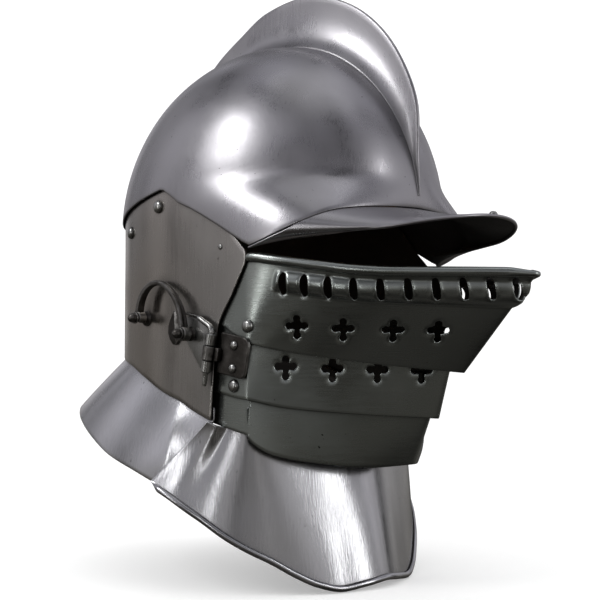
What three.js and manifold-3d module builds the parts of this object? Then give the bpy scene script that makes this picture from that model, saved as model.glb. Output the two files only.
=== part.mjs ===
// Closed knightly helmet (burgonet) with a tall comb, a peak, a falling face plate, gorget
// plates, lift-out hinge pins, side latch bails and a leather liner.
// Millimetres, +Z up, the face looks along -Y, +X is the wearer's left.
import * as THREE from "three";
import { mergeVertices } from "three/addons/utils/BufferGeometryUtils.js";
import Module from "manifold-3d";

const wasm = await Module();
wasm.setup();

// ---- Driving dimensions ----
const SHEET = 1.2; // thickness of every steel plate
const GAP = 0.3; // smallest running gap between two pieces
const CENTRE_F = -12; // middle of the skull, measured forward of the ear line
const SKULL_A = 98.5; // half width of the skull
const SKULL_B = 117.5; // half length of the skull, ahead of its middle
const SKULL_BACK = 125.5; // the same, behind its middle
const DOME_Z = 48; // level where the skull starts to curve in
const DOME_H = 126; // height of the dome above that level
const NAPE_IN = 2.3; // how far the nape plate sits inside the skull's outer face
const COLLAR_IN = 4.6; // the same for the rear gorget plate
const CROWN_Z = 148; // underside of the crown pad, which is the frame's origin
const LAME_W = 93.6; // half width of the upper lame
const LAME_STEP = SHEET + 0.5; // each plate behind it is this much narrower
const BEND_F = 44; // where the sides of the face plates start to curve in
const REAR_F = 9.5; // rear ends of the face plates, inside the nape plate
const PIVOT = { f: 46, z: -21 }; // pivot rivet of the upper lame
const LOWER_RIVET = { f: 33, z: -57 };
const LEAF_RIVETS = { top: { f: 37, z: -32.5 }, low: { f: 35.5, z: -46.4 } };
const HINGE = { x: 100.2, f: 19.2, z: -37, lean: 0.2 }; // hinge pin axis
const PIN_R = 1.9;
const KNUCKLE_R = 3.4;
const FRONT_STUD = { f: 0, z: -25 };
const REAR_STUD = { f: -47, z: -14 };
const STUD_STEM_R = 2.4;

// ---- Small helpers ----
const at = (x, f, z) => new THREE.Vector3(x, -f, z);
const lerp = (a, b, t) => a + (b - a) * t;
const rad = (deg) => (deg * Math.PI) / 180;
const clamp01 = (t) => Math.min(1, Math.max(0, t));
const smooth = (t) => clamp01(t) ** 2 * (3 - 2 * clamp01(t));
const power = (c, p) => Math.sign(c) * Math.abs(c) ** p;
const range = (n) => Array.from({ length: n + 1 }, (_, i) => i / n);

// A smooth line through a few (x, y) points, with no overshoot between them.
function through(points) {
  const slope = (i) =>
    (points[i + 1][1] - points[i][1]) / (points[i + 1][0] - points[i][0]);
  const tangents = points.map((_, i) => {
    if (i === 0) return slope(0);
    if (i === points.length - 1) return slope(i - 1);
    const [before, after] = [slope(i - 1), slope(i)];
    return before * after <= 0 ? 0 : (2 * before * after) / (before + after);
  });
  return (x) => {
    let i = points.findIndex((p) => x <= p[0]) - 1;
    if (i < 0) i = x <= points[0][0] ? 0 : points.length - 2;
    const [[x0, y0], [x1, y1]] = [points[i], points[i + 1]];
    const t = clamp01((x - x0) / (x1 - x0));
    const [m0, m1] = [tangents[i] * (x1 - x0), tangents[i + 1] * (x1 - x0)];
    return (
      (2 * t ** 3 - 3 * t ** 2 + 1) * y0 + (t ** 3 - 2 * t ** 2 + t) * m0 +
      (3 * t ** 2 - 2 * t ** 3) * y1 + (t ** 3 - t ** 2) * m1
    );
  };
}

// A closed body from points and triangles, turned so that its faces point outwards.
function body(points, triangles) {
  let volume = 0;
  for (const [a, b, c] of triangles)
    volume += points[a].dot(points[b].clone().cross(points[c]));
  const faces = volume < 0 ? triangles.map(([a, b, c]) => [a, c, b]) : triangles;
  const geometry = new THREE.BufferGeometry();
  geometry.setFromPoints(points);
  geometry.setIndex(faces.flat());
  geometry.computeVertexNormals();
  return geometry;
}

// Joins loops of points into one body. A ring of loops has no ends; an open row of loops is
// closed by zipping each end loop together, or by a fan to a tip point.
function loft(loops, { ring = false, tips = null } = {}) {
  const count = loops[0].length;
  const points = loops.flat();
  const triangles = [];
  const rows = ring ? loops.length : loops.length - 1;
  for (let i = 0; i < rows; i++)
    for (let k = 0; k < count; k++) {
      const next = (i + 1) % loops.length;
      const [a, b] = [i * count + k, i * count + ((k + 1) % count)];
      const [c, d] = [next * count + k, next * count + ((k + 1) % count)];
      // The shorter diagonal, so that both faces of a thin sheet fold the same way.
      if (points[a].distanceTo(points[d]) <= points[b].distanceTo(points[c]))
        triangles.push([a, b, d], [a, d, c]);
      else triangles.push([a, b, c], [b, d, c]);
    }
  if (tips) {
    const last = (loops.length - 1) * count;
    points.push(...tips);
    for (let k = 0; k < count; k++) {
      const turn = (k + 1) % count;
      triangles.push([points.length - 2, turn, k]);
      triangles.push([points.length - 1, last + k, last + turn]);
    }
  } else if (!ring) {
    const last = (loops.length - 1) * count;
    for (let k = 0; k < count / 2 - 1; k++) {
      const [a, b, c, d] = [k, k + 1, count - 2 - k, count - 1 - k];
      triangles.push([a, d, c], [a, c, b]);
      triangles.push([last + a, last + c, last + d], [last + a, last + b, last + c]);
    }
  }
  return body(points, triangles);
}

// The outward direction of a surface at (u, v); on a keel it is the mitre of its two sides.
function outward(surface, u, v, keel) {
  const e = 1e-3;
  const onKeel = keel && Math.abs(u) < 1e-9;
  const [u0, u1] = onKeel ? [e, 3 * e] : [u - e, u + e];
  const along = surface(u1, v).sub(surface(u0, v));
  const across = surface(onKeel ? 2 * e : u, v + e).sub(surface(onKeel ? 2 * e : u, v - e));
  const normal = along.cross(across).normalize();
  const here = surface(u, v);
  const core = at(0, CENTRE_F - 20, here.z);
  if (normal.dot(here.sub(core)) < 0) normal.negate();
  if (!onKeel) return normal;
  const flat = normal.y ** 2 + normal.z ** 2;
  return new THREE.Vector3(0, normal.y / flat, normal.z / flat);
}

// A sheet-metal plate: stations along u, rows along v; relief(u, v) gives the heights of its
// outer and inner faces above the surface.
function plate(surface, us, vs, { relief = () => [0, -SHEET], keel = false, ring = false } = {}) {
  const loops = us.map((u) => {
    const face = (side) => (v) =>
      surface(u, v).addScaledVector(outward(surface, u, v, keel), relief(u, v)[side]);
    return [...vs.map(face(0)), ...[...vs].reverse().map(face(1))];
  });
  return loft(loops, { ring });
}

// A round bar through points, with a radius at each point.
function bar(points, radii, sides = 8) {
  const loops = [];
  let side = null;
  points.forEach((point, i) => {
    const before = points[Math.max(0, i - 1)];
    const after = points[Math.min(points.length - 1, i + 1)];
    const along = after.clone().sub(before).normalize();
    if (!side) side = new THREE.Vector3(1, 0, 0);
    side = side.clone().addScaledVector(along, -side.dot(along)).normalize();
    const other = along.clone().cross(side);
    loops.push(
      range(sides).slice(0, -1).map((t) =>
        point.clone()
          .addScaledVector(side, radii[i] * Math.cos(2 * Math.PI * t))
          .addScaledVector(other, radii[i] * Math.sin(2 * Math.PI * t))),
    );
  });
  return loft(loops, { tips: [points[0], points[points.length - 1]] });
}

// A turned piece along an axis, from (radius, height) pairs that start and end on the axis.
function turned(profile, base, axis, sides = 10) {
  const geometry = new THREE.LatheGeometry(
    profile.map(([r, h]) => new THREE.Vector2(r, h)), sides);
  const tilt = new THREE.Quaternion().setFromUnitVectors(
    new THREE.Vector3(0, 1, 0), axis.clone().normalize());
  geometry.applyQuaternion(tilt).translate(base.x, base.y, base.z);
  return geometry;
}

const welded = (geometry) => {
  const bare = geometry.clone();
  bare.deleteAttribute("normal");
  bare.deleteAttribute("uv");
  return mergeVertices(bare, 1e-4);
};

function solid(geometry) {
  const merged = welded(geometry);
  return new wasm.Manifold(new wasm.Mesh({
    numProp: 3,
    vertProperties: new Float32Array(merged.attributes.position.array),
    triVerts: new Uint32Array(merged.index.array),
  }));
}

function geometryOf(manifold) {
  const mesh = manifold.getMesh();
  const geometry = new THREE.BufferGeometry();
  geometry.setAttribute("position", new THREE.BufferAttribute(mesh.vertProperties, 3));
  geometry.setIndex(new THREE.BufferAttribute(mesh.triVerts, 1));
  geometry.computeVertexNormals();
  return geometry;
}

const cut = (geometry, cutters) =>
  geometryOf(cutters.reduce((left, cutter) => left.subtract(solid(cutter)), solid(geometry)));

function mirrored(geometry) {
  const copy = welded(geometry);
  copy.scale(-1, 1, 1);
  const index = copy.index.array;
  for (let i = 0; i < index.length; i += 3)
    [index[i + 1], index[i + 2]] = [index[i + 2], index[i + 1]];
  copy.computeVertexNormals();
  return copy;
}

// ---- The shape of the head ----
// How square the front half is: an ellipse above the brow, boxier down at the cheeks.
const squareness = (z) => 2 + 3 * smooth((75 - z) / 55);

function hull(phi, z, inset) {
  const [s, c] = [Math.sin(phi), Math.cos(phi)];
  const m = c > 0 ? squareness(z) : 2;
  return [
    (SKULL_A - inset) * power(s, 2 / m),
    CENTRE_F + ((c > 0 ? SKULL_B : SKULL_BACK) - inset) * power(c, 2 / m),
  ];
}

// Half width of the head at a place f forward, in its front half.
function hullWidth(f, z, inset) {
  const m = squareness(z);
  const along = (f - CENTRE_F) / (SKULL_B - inset);
  return (SKULL_A - inset) * (1 - along ** m) ** (1 / m);
}

// ---- Skull ----
const domePower = (phi) => 2.05 + 0.08 * Math.cos(phi);

// Point at the dome angle alpha: 0 where the walls start to curve, 90 degrees at the crown.
function domePoint(phi, alpha, inset = 0) {
  const n = domePower(phi);
  const rise = alpha > 0 ? Math.sin(alpha) ** (2 / n) : alpha;
  const shrink = alpha > 0 ? Math.cos(alpha) ** (2 / n) : 1;
  const z = DOME_Z + (DOME_H - inset) * rise;
  const [x, f] = hull(phi, z, inset);
  return at(x * shrink, CENTRE_F + (f - CENTRE_F) * shrink, z);
}

const RIM_FRONT = through([[0, 54.5], [30, 49.5], [50, 41], [66, 33.5], [78, 27.5]]);
const RIM_SIDE = through([[78, 27.5], [82, 35], [90, 59], [98, 69.5]]);
const RIM_BACK = through([[98, 69.5], [122, 61], [148, 53], [180, 51]]);

// Height of the skull's lower edge, by degrees round from the front.
function rimZ(degrees) {
  if (degrees < 78) return RIM_FRONT(degrees);
  return degrees < 98 ? RIM_SIDE(degrees) : RIM_BACK(degrees);
}

// How much smaller the dome is at a level than at its foot.
function shrinkAt(phi, z, inset) {
  const n = domePower(phi);
  return (1 - clamp01((z - DOME_Z) / (DOME_H - inset)) ** n) ** (1 / n);
}

function alphaAt(phi, z) {
  const h = (z - DOME_Z) / DOME_H;
  return h > 0 ? Math.asin(h ** (domePower(phi) / 2)) : h;
}

const HALF_ROUND = [0, 17, 34, 50, 66, 78, 84, 91, 98, 112, 126, 140, 153, 167, 180];
const ROUND = [...HALF_ROUND, ...HALF_ROUND.slice(1, -1).reverse().map((d) => -d)];
const DOME_ROWS = [0, 0.1, 0.22, 0.35, 0.48, 0.61, 0.74, 0.86, 0.95];
const crownPoint = (inset) => at(0, CENTRE_F, DOME_Z + DOME_H - inset);

// Rings of points up the dome, from its rim to near the crown.
const domeRings = (inset) => DOME_ROWS.map((w) => ROUND.map((degrees) => {
  const phi = rad(degrees);
  const start = alphaAt(phi, rimZ(Math.abs(degrees)));
  return domePoint(phi, lerp(start, Math.PI / 2, w), inset);
}));

const skull = () => loft([...domeRings(SHEET).reverse(), ...domeRings(0)], {
  tips: [crownPoint(SHEET), crownPoint(0)],
});

// The dome as a filled solid, for seating the comb on it.
const dome = (inset) => loft(domeRings(inset), { tips: [crownPoint(100), crownPoint(inset)] });

// ---- Comb ----
const COMB_HEIGHT = through([
  [7, 1], [13.5, 2.4], [19.5, 4.9], [25.5, 9.4], [33, 16], [44, 22.4], [56, 29.2], [67, 34],
  [79, 36.8], [95, 32], [106, 23.9], [116, 19.3], [137, 9], [152, 3.6], [163, 2], [170, 1.2],
]);

// Place on the skull's middle line, and its outward direction, by degrees up from the front.
function midline(degrees) {
  const phi = degrees < 90 ? 0 : Math.PI;
  const reach = degrees < 90 ? SKULL_B : SKULL_BACK;
  const tangent = Math.abs(Math.tan(rad(degrees)));
  const alpha = Math.atan(((tangent * reach) / DOME_H) ** (domePower(phi) / 2));
  return domePoint(phi, alpha);
}

function comb() {
  const stations = [
    7, 10, 13.5, 19.5, 25.5, 29, 33, 38, 44, 50, 56, 62, 67,
    73, 79, 86, 94, 104, 115, 126, 137, 145, 152, 163, 170,
  ];
  const section = [[0, 9.6], [0.16, 6.2], [0.3, 3.9], [0.5, 2.5], [0.9, 1.5], [1, 0.7]];
  const loops = stations.map((degrees) => {
    const base = midline(degrees);
    const along = midline(degrees + 0.5).sub(midline(degrees - 0.5));
    const out = new THREE.Vector3(0, -along.z, along.y).normalize();
    if (out.dot(base.clone().sub(at(0, CENTRE_F, DOME_Z))) < 0) out.negate();
    const height = COMB_HEIGHT(degrees);
    const side = (sign) => ([t, w]) => {
      const point = base.clone().addScaledVector(out, lerp(-3, height, t));
      point.x = sign * Math.min(w, 0.7 + height * 0.3);
      return point;
    };
    return [...section.map(side(1)), ...[...section].reverse().map(side(-1))];
  });
  return cut(loft(loops), [dome(-GAP)]);
}

// ---- Peak ----
const PEAK = { half: 78, start: 60, reach: 105.5, edgeZ: 31.3, tipRise: 13.5, side: 77.4, tuck: 1.4, bow: 5 };

// u runs from the right temple (-1) to the left (1), v from the root to the edge.
function peakSurface(u, v) {
  const phi = rad(PEAK.side * u);
  const [rootX, rootF] = hull(phi, rimZ(Math.abs(PEAK.side * u)), 0);
  const tuck = PEAK.tuck * smooth((Math.abs(u) - 0.6) / 0.2);
  const rootZ = rimZ(Math.abs(PEAK.side * u)) - 1 - tuck;
  const turn = (Math.PI / 2) * u;
  const edgeZ = PEAK.edgeZ + PEAK.tipRise * Math.cos(turn) ** 2;
  const bow = PEAK.bow * Math.sin(Math.PI * clamp01(v)) * Math.cos(turn);
  return at(
    lerp(rootX, PEAK.half * Math.sin(turn), v),
    lerp(rootF, PEAK.start + PEAK.reach * Math.cos(turn), v),
    lerp(rootZ, edgeZ, v) - bow * 0.4,
  );
}

function peak() {
  const us = range(28).map((t) => Math.sin((t - 0.5) * Math.PI * 0.98) / Math.sin(0.49 * Math.PI));
  const vs = [0.03, 0.3, 0.6, 0.86, 0.955, 0.975, 1];
  // The outer side: upwards over the brow, outwards at the cheeks and under at the temples.
  const outer = (u, v) => {
    const e = 1e-3;
    const along = peakSurface(u + e, v).sub(peakSurface(u - e, v));
    const across = peakSurface(u, v + e).sub(peakSurface(u, v - e));
    return across.cross(along).normalize();
  };
  const faces = (v) => {
    if (v < 0.9) return [0, -SHEET];
    if (v < 0.96) return [0, -SHEET - 0.2];
    return v < 0.99 ? [0.9, -SHEET - 1] : [-0.2, -SHEET - 0.2];
  };
  const loops = us.map((u) => {
    const face = (side) => (v) =>
      peakSurface(u, v).addScaledVector(outer(u, v), faces(v)[side]);
    return [...vs.map(face(0)), ...[...vs].reverse().map(face(1))];
  });
  return loft(loops);
}

// ---- Nape plate and rear gorget ----
// A place round the head is its bearing: degrees from the front for the back half, and ahead
// of the skull's middle one unit for each millimetre forward.
const SIDE = 90;
const BACK = 180;
const bearingOf = (f) => SIDE - (f - CENTRE_F);

const FRONT_EDGE = through([[-78, 16], [-45, 18.8], [-23, 21.5], [0, 35], [21, 47], [60, 66]]);
const NAPE_LOW = through([
  [66, -78], [78, -73.5], [90, -68], [100, -62], [112, -52], [125, -43.5], [148, -38],
  [180, -37],
]);

function wrap(bearing, z, inset) {
  if (bearing < SIDE) {
    const f = CENTRE_F + SIDE - bearing;
    return [hullWidth(f, z, inset) * shrinkAt(Math.PI / 2, z, inset), f];
  }
  const phi = rad(bearing);
  const [x, f] = hull(phi, z, inset);
  const shrink = shrinkAt(phi, z, inset);
  return [x * shrink, CENTRE_F + (f - CENTRE_F) * shrink];
}

// Bearings of the nape plate's front corners.
const NAPE_START = { top: 34, low: 66 };

// Height of the nape plate's hidden top edge, tucked under the skull's rim.
const NAPE_TOP = through([
  [34, 17], [37, 23.5], [42, 27.5], [52, 35], [62, 44], [75, 56], [90, 66], [98, 76.5], [122, 68],
  [148, 60], [180, 58],
]);

// u runs from -1, the right front edge, round the back to 1, the left one.
function napeSurface(u, v) {
  const t = 1 - Math.abs(u);
  const top = NAPE_TOP(lerp(NAPE_START.top, BACK, t));
  const low = NAPE_LOW(lerp(NAPE_START.low, BACK, t));
  const z = lerp(top, low, v);
  const [x, f] = wrap(lerp(bearingOf(FRONT_EDGE(z)), BACK, t), z, NAPE_IN);
  return at(u < 0 ? -x : x, f, z);
}

// Stations from the right front edge, round the back, to the left front edge.
const roundTheBack = (distances) =>
  [...distances.map((t) => t - 1), ...distances.slice(0, -1).reverse().map((t) => 1 - t)];

function napePlate() {
  const stations = [0, 0.02, 0.04, 0.08, 0.14, 0.21, 0.29, 0.37, 0.44, 0.53, 0.62, 0.72, 0.81, 0.9, 1];
  return plate(napeSurface, roundTheBack(stations), [0, 0.2, 0.4, 0.6, 0.8, 1]);
}

// Seam of the two gorget plates, as bearings at its top and foot, and the collar's lower edge.
const SEAM = { top: 61, foot: 88 };
const COLLAR_FLARE = through([[88, 14], [100, 19], [120, 27], [150, 36], [180, 38]]);
const COLLAR_EDGE = through([
  [88, -122], [100, -111], [112, -101.5], [120, -93.5], [134, -81.5], [150, -73], [180, -70],
]);
const TUCK = 0.16;

// v = 0 is tucked inside the nape plate, 1 is the free lower edge.
function collarSurface(u, v) {
  const t = 1 - Math.abs(u);
  const waist = NAPE_LOW(lerp(NAPE_START.low, BACK, t));
  const atEdge = lerp(SEAM.foot, BACK, t);
  const down = clamp01((v - TUCK) / (1 - TUCK));
  const z = v < TUCK ? lerp(waist + 7, waist, v / TUCK) : lerp(waist, COLLAR_EDGE(atEdge), down);
  const bearing = lerp(lerp(SEAM.top, SEAM.foot, down), BACK, t);
  const [x, f] = wrap(bearing, z, COLLAR_IN);
  const flare = COLLAR_FLARE(atEdge) * down;
  const away = rad(Math.max(SIDE, bearing));
  const side = u < 0 ? -1 : 1;
  return at(side * (x + flare * Math.sin(away)), f + flare * Math.cos(away), z);
}

function rearGorget() {
  const stations = [0, 0.07, 0.14, 0.22, 0.31, 0.41, 0.53, 0.65, 0.77, 0.89, 1];
  return plate(collarSurface, roundTheBack(stations), [0, TUCK, 0.3, 0.45, 0.6, 0.8, 1]);
}

// ---- Face plates ----
// Plan curve of a prow: t = 0 on the keel, 1 at the rear end inside the nape plate.
const STRAIGHT_T = 0.84;

function prow(t, width, cheek, keel) {
  if (t > STRAIGHT_T)
    return [width, lerp(BEND_F, REAR_F, (t - STRAIGHT_T) / (1 - STRAIGHT_T))];
  const s = t / STRAIGHT_T;
  return [
    width * (2 * s - s * s),
    (1 - s) ** 2 * keel + 2 * s * (1 - s) * cheek + s * s * BEND_F,
  ];
}

function prowSurface(top, low) {
  return (u, v) => {
    const t = Math.abs(u);
    const side = u < 0 ? -1 : 1;
    const [x0, f0] = prow(t, top.width, top.cheek, top.keel);
    const [x1, f1] = prow(t, low.width, low.cheek, low.keel);
    return at(side * lerp(x0, x1, v), lerp(f0, f1, v), lerp(top.z(t), low.z(t), v));
  };
}

const bothSides = (ts) => [...[...ts].reverse().map((t) => -t), ...ts.slice(1)];

// Upper lame: a rolled top rim, a half-round band under it, then a plain panel.
const UPPER = {
  top: {
    width: LAME_W, cheek: 96, keel: 193,
    z: through([
      [0, 12.3], [0.3, 12.3], [0.4, 13.3], [0.5, 15.6], [0.6, 18], [0.7, 20.4], [0.8, 22.2],
      [0.84, 21.8], [0.9, 17.5], [1, 10],
    ]),
  },
  low: {
    width: LAME_W, cheek: 58, keel: 139,
    z: through([
      [0, -49], [0.13, -45.5], [0.45, -37.5], [0.7, -32], [0.8, -30.5], [0.86, -27],
      [0.93, -20], [1, -12],
    ]),
  },
};
const RIM = { end: 0.066, height: 2.6 };
const BAND = { start: 0.075, end: 0.325, height: 3.6, rear: 0.67 };
const upperSurface = prowSurface(UPPER.top, UPPER.low);

function upperRelief(u, v) {
  if (v <= RIM.end) {
    const bulge = RIM.height * Math.sin((Math.PI * v) / RIM.end);
    return [bulge * smooth((0.85 - Math.abs(u)) / 0.06), -SHEET - bulge * 0.6];
  }
  const fade = smooth((BAND.rear - Math.abs(u)) / 0.03);
  const across = clamp01((v - BAND.start) / (BAND.end - BAND.start));
  const swell = BAND.height * Math.sin(Math.PI * across) * fade;
  return [swell, swell - SHEET];
}

const SLOTS = {
  count: 10, width: 5, half: 7, corner: 1.6, v: 0.195,
  from: (t) => 0.02 + 0.43 * t + 0.17 * t * t,
};
const UPPER_CROSSES = { us: [0.117, 0.22, 0.354, 0.512], v: (u) => 0.6 + 0.22 * u };
const LOWER_CROSSES = { us: [0.064, 0.173, 0.304, 0.485], v: (u) => 0.255 + 0.25 * u };
const CROSS = { lobe: 2.3, reach: 4.2, drop: 1.3 };

// A place on a plate as a frame: x along the plate, y up it, z outwards.
function frameOn(surface, u, v) {
  const here = surface(u, v);
  const out = outward(surface, u, v, false);
  const up = surface(u, v - 1e-3).sub(surface(u, v + 1e-3)).normalize();
  const along = up.clone().cross(out).normalize();
  return new THREE.Matrix4().makeBasis(along, out.clone().cross(along), out).setPosition(here);
}

// Cuts a flat outline straight through a plate.
function punch(shape, place, depth = 14, segments = 3) {
  const geometry = new THREE.ExtrudeGeometry(
    shape, { depth, bevelEnabled: false, curveSegments: segments });
  geometry.translate(0, 0, -depth / 2);
  return geometry.applyMatrix4(place);
}

// Four round lobes; the lowest reaches a little further down.
function crossShape() {
  const shape = new THREE.Shape();
  const outline = [0, 90, 180, 270].flatMap((degrees) => {
    const reach = CROSS.reach + (degrees === 270 ? CROSS.drop : 0);
    return [-105, -35, 35, 105].map((turn) => [
      reach * Math.cos(rad(degrees)) + CROSS.lobe * Math.cos(rad(degrees + turn)),
      reach * Math.sin(rad(degrees)) + CROSS.lobe * Math.sin(rad(degrees + turn)),
    ]);
  });
  shape.setFromPoints(outline.map(([x, y]) => new THREE.Vector2(x, y)));
  return shape;
}

function slotShape(slant) {
  const shape = new THREE.Shape();
  const w = SLOTS.width / 2;
  const h = SLOTS.half;
  const c = SLOTS.corner;
  const outline = [[-w, -h], [w, -h], [w, h - c], [w - c, h], [c - w, h], [-w, h - c]];
  shape.setFromPoints(outline.map(([x, y]) => new THREE.Vector2(x + (slant * y) / 6, y)));
  return shape;
}

const RIVET_HOLE_R = 2.1;

function rivetHole(width, place) {
  const shape = new THREE.Shape().absarc(0, 0, RIVET_HOLE_R, 0, 2 * Math.PI, false);
  const toSide = new THREE.Matrix4().makeRotationY(Math.PI / 2)
    .setPosition(at(width, place.f, place.z));
  return punch(shape, toSide, 16, 5);
}

// Every cutter is made for the left side and repeated on the right.
const onBothSides = (cutters) => [...cutters, ...cutters.map(mirrored)];

function upperLame() {
  const ts = [0, 0.1, 0.2, 0.3, 0.4, 0.5, 0.6, 0.68, 0.72, 0.78, 0.84, 0.88, 0.93, 1];
  const vs = [0, 0.022, 0.044, RIM.end, BAND.start, 0.13, 0.2, 0.27, BAND.end, 1];
  const slots = range(SLOTS.count - 1).map((t) => {
    const place = frameOn(upperSurface, SLOTS.from(t), SLOTS.v);
    return punch(slotShape(lerp(1.4, -0.2, t)), place, 18);
  });
  const crosses = UPPER_CROSSES.us.map((u) =>
    punch(crossShape(), frameOn(upperSurface, u, UPPER_CROSSES.v(u))));
  const hole = rivetHole(LAME_W, PIVOT);
  return cut(
    plate(upperSurface, bothSides(ts), vs, { relief: upperRelief, keel: true }),
    onBothSides([...slots, ...crosses, hole]),
  );
}

// Lower lame: tucked behind the upper one; it clears the hinge leaf at its rear end.
const LOWER = {
  top: {
    width: LAME_W - LAME_STEP, cheek: 49, keel: 131,
    z: through([[0, -38], [0.4, -32], [0.66, -26], [0.78, -12.5], [0.9, -11], [1, -20]]),
  },
  low: {
    width: LAME_W - LAME_STEP, cheek: 45, keel: 120,
    z: through([[0, -77], [0.45, -70], [0.7, -65.5], [0.86, -64.5], [0.93, -62], [1, -58.5]]),
  },
};
const lowerSurface = prowSurface(LOWER.top, LOWER.low);

function lowerLame() {
  const ts = [0, 0.08, 0.17, 0.27, 0.37, 0.47, 0.57, 0.66, 0.72, 0.78, 0.84, 0.9, 1];
  const crosses = LOWER_CROSSES.us.map((u) =>
    punch(crossShape(), frameOn(lowerSurface, u, LOWER_CROSSES.v(u))));
  const holes = [rivetHole(LAME_W, PIVOT), rivetHole(LAME_W, LOWER_RIVET)];
  return cut(
    plate(lowerSurface, bothSides(ts), [0, 0.33, 0.66, 1], { keel: true }),
    onBothSides([...crosses, ...holes]),
  );
}

const CHIN = {
  top: {
    width: LAME_W - 2 * LAME_STEP, cheek: 41, keel: 119,
    z: through([[0, -64], [0.45, -57], [0.8, -50], [1, -50]]),
  },
  low: {
    width: LAME_W - 2 * LAME_STEP, cheek: 44, keel: 101,
    z: through([
      [0, -106], [0.12, -107.5], [0.28, -104.5], [0.5, -99], [0.7, -91.5], [0.84, -86.5], [1, -79],
    ]),
  },
};

function chinPlate() {
  const ts = [0, 0.1, 0.2, 0.3, 0.4, 0.5, 0.6, 0.7, 0.77, 0.84, 0.92, 1];
  return cut(
    plate(prowSurface(CHIN.top, CHIN.low), bothSides(ts), [0, 0.33, 0.66, 1], { keel: true }),
    onBothSides([rivetHole(LAME_W, LOWER_RIVET)]),
  );
}

// ---- Front gorget ----
const GORGET_TOP = {
  x: through([[0, 0], [0.35, 50], [0.65, 79], [0.78, 86], [0.84, 88.4], [0.9, 93.6], [1, 97.2]]),
  f: through([[0, 60], [0.35, 48], [0.65, 35], [0.78, 27], [0.84, 23], [0.9, 20], [1, 15]]),
  z: through([
    [0, -92], [0.35, -90], [0.65, -85], [0.78, -82], [0.84, -83], [0.9, -82], [1, -79.5],
  ]),
};
const GORGET_LOW = {
  x: through([[0, 0], [0.2, 33], [0.42, 62], [0.72, 97.5], [0.88, 110.2], [1, 114]]),
  f: through([[0, 79], [0.2, 70], [0.42, 54], [0.72, 24], [0.88, 0], [1, -20]]),
  z: through([
    [0, -181], [0.1, -183], [0.2, -185], [0.3, -181.5], [0.4, -174.5], [0.5, -165.5],
    [0.6, -157.5], [0.7, -148], [0.8, -136.5], [0.9, -126], [1, -118],
  ]),
};

function gorgetSurface(u, v) {
  const t = Math.abs(u);
  const side = u < 0 ? -1 : 1;
  return at(
    side * lerp(GORGET_TOP.x(t), GORGET_LOW.x(t), power(v, 1.1)),
    lerp(GORGET_TOP.f(t), GORGET_LOW.f(t), v),
    lerp(GORGET_TOP.z(t), GORGET_LOW.z(t), v),
  );
}

function frontGorget() {
  const ts = [0, 0.1, 0.2, 0.31, 0.42, 0.53, 0.65, 0.72, 0.78, 0.84, 0.9, 0.95, 1];
  const vs = [0, 0.25, 0.5, 0.75, 0.93, 0.955, 0.98, 1];
  const roll = (u, v) => {
    if (v <= 0.93) return [0, -SHEET];
    const bulge = 1.7 * Math.sin((Math.PI * (v - 0.93)) / 0.07);
    return [bulge, -SHEET - bulge];
  };
  return plate(gorgetSurface, bothSides(ts), vs, { relief: roll, keel: true });
}

// ---- Rivets and studs ----
const LEFT = new THREE.Vector3(1, 0, 0);
const domed = (r, h, under = 0) => [
  ...(under ? [[0, -under], [r * 0.45, -under], [r * 0.45, 0]] : [[0, 0]]),
  [r, 0], [r * 0.9, h * 0.45], [r * 0.55, h * 0.85], [0, h],
];

// The outward direction of the head's wall at a place given by f and z.
function wallPoint(f, z, inset) {
  if (f > CENTRE_F) return at(hullWidth(f, z, inset), f, z);
  const c = (f - CENTRE_F) / (SKULL_BACK - inset);
  return at((SKULL_A - inset) * Math.sqrt(1 - c * c), f, z);
}

function wallNormal(f, z, inset) {
  const along = wallPoint(f + 0.1, z, inset).sub(wallPoint(f - 0.1, z, inset));
  return new THREE.Vector3(-along.y, along.x, 0).normalize().multiplyScalar(along.y > 0 ? -1 : 1);
}

function wallRivet(f, z, r, h) {
  const normal = wallNormal(f, z, NAPE_IN);
  if (normal.x < 0) normal.negate();
  const lift = 0.08 + (r * r) / 2 / 95;
  return turned(domed(r, h), wallPoint(f, z, NAPE_IN).addScaledVector(normal, lift), normal);
}

const flatRivet = (x, place, r, h, under) =>
  turned(domed(r, h, under), at(x, place.f, place.z), LEFT);

function stud(place, base, length) {
  const foot = wallPoint(place.f, place.z, NAPE_IN).x + base;
  const profile = [
    [0, 0], [4.6, 0], [4.2, 1.1], [STUD_STEM_R, 1.7], [STUD_STEM_R, length - 5.4],
    [3.6, length - 5], [3.6, length - 4.2], [2.1, length - 3.6], [3.1, length - 2.4],
    [3.1, length - 1.4], [1.9, length - 0.3], [0, length],
  ];
  return turned(profile, at(foot, place.f, place.z), LEFT, 12);
}

// ---- Hinges ----
// Local frame of a hinge: its Z is the pin, its X points out of the helmet, Y towards the back.
const hingeFrame = new THREE.Matrix4().makeBasis(
  new THREE.Vector3(1, 0, 0),
  new THREE.Vector3(0, 1, HINGE.lean).normalize(),
  new THREE.Vector3(0, -HINGE.lean, 1).normalize(),
).setPosition(at(HINGE.x, HINGE.f, HINGE.z));

function block(x0, x1, y0, y1, z0, z1) {
  return new THREE.BoxGeometry(x1 - x0, y1 - y0, z1 - z0)
    .translate((x0 + x1) / 2, (y0 + y1) / 2, (z0 + z1) / 2);
}

function sleeve(r, z0, z1, sides = 14) {
  return new THREE.CylinderGeometry(r, r, z1 - z0, sides)
    .rotateX(Math.PI / 2).translate(0, 0, (z0 + z1) / 2);
}

const PIN_HOLE_R = PIN_R + 0.25;

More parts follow.
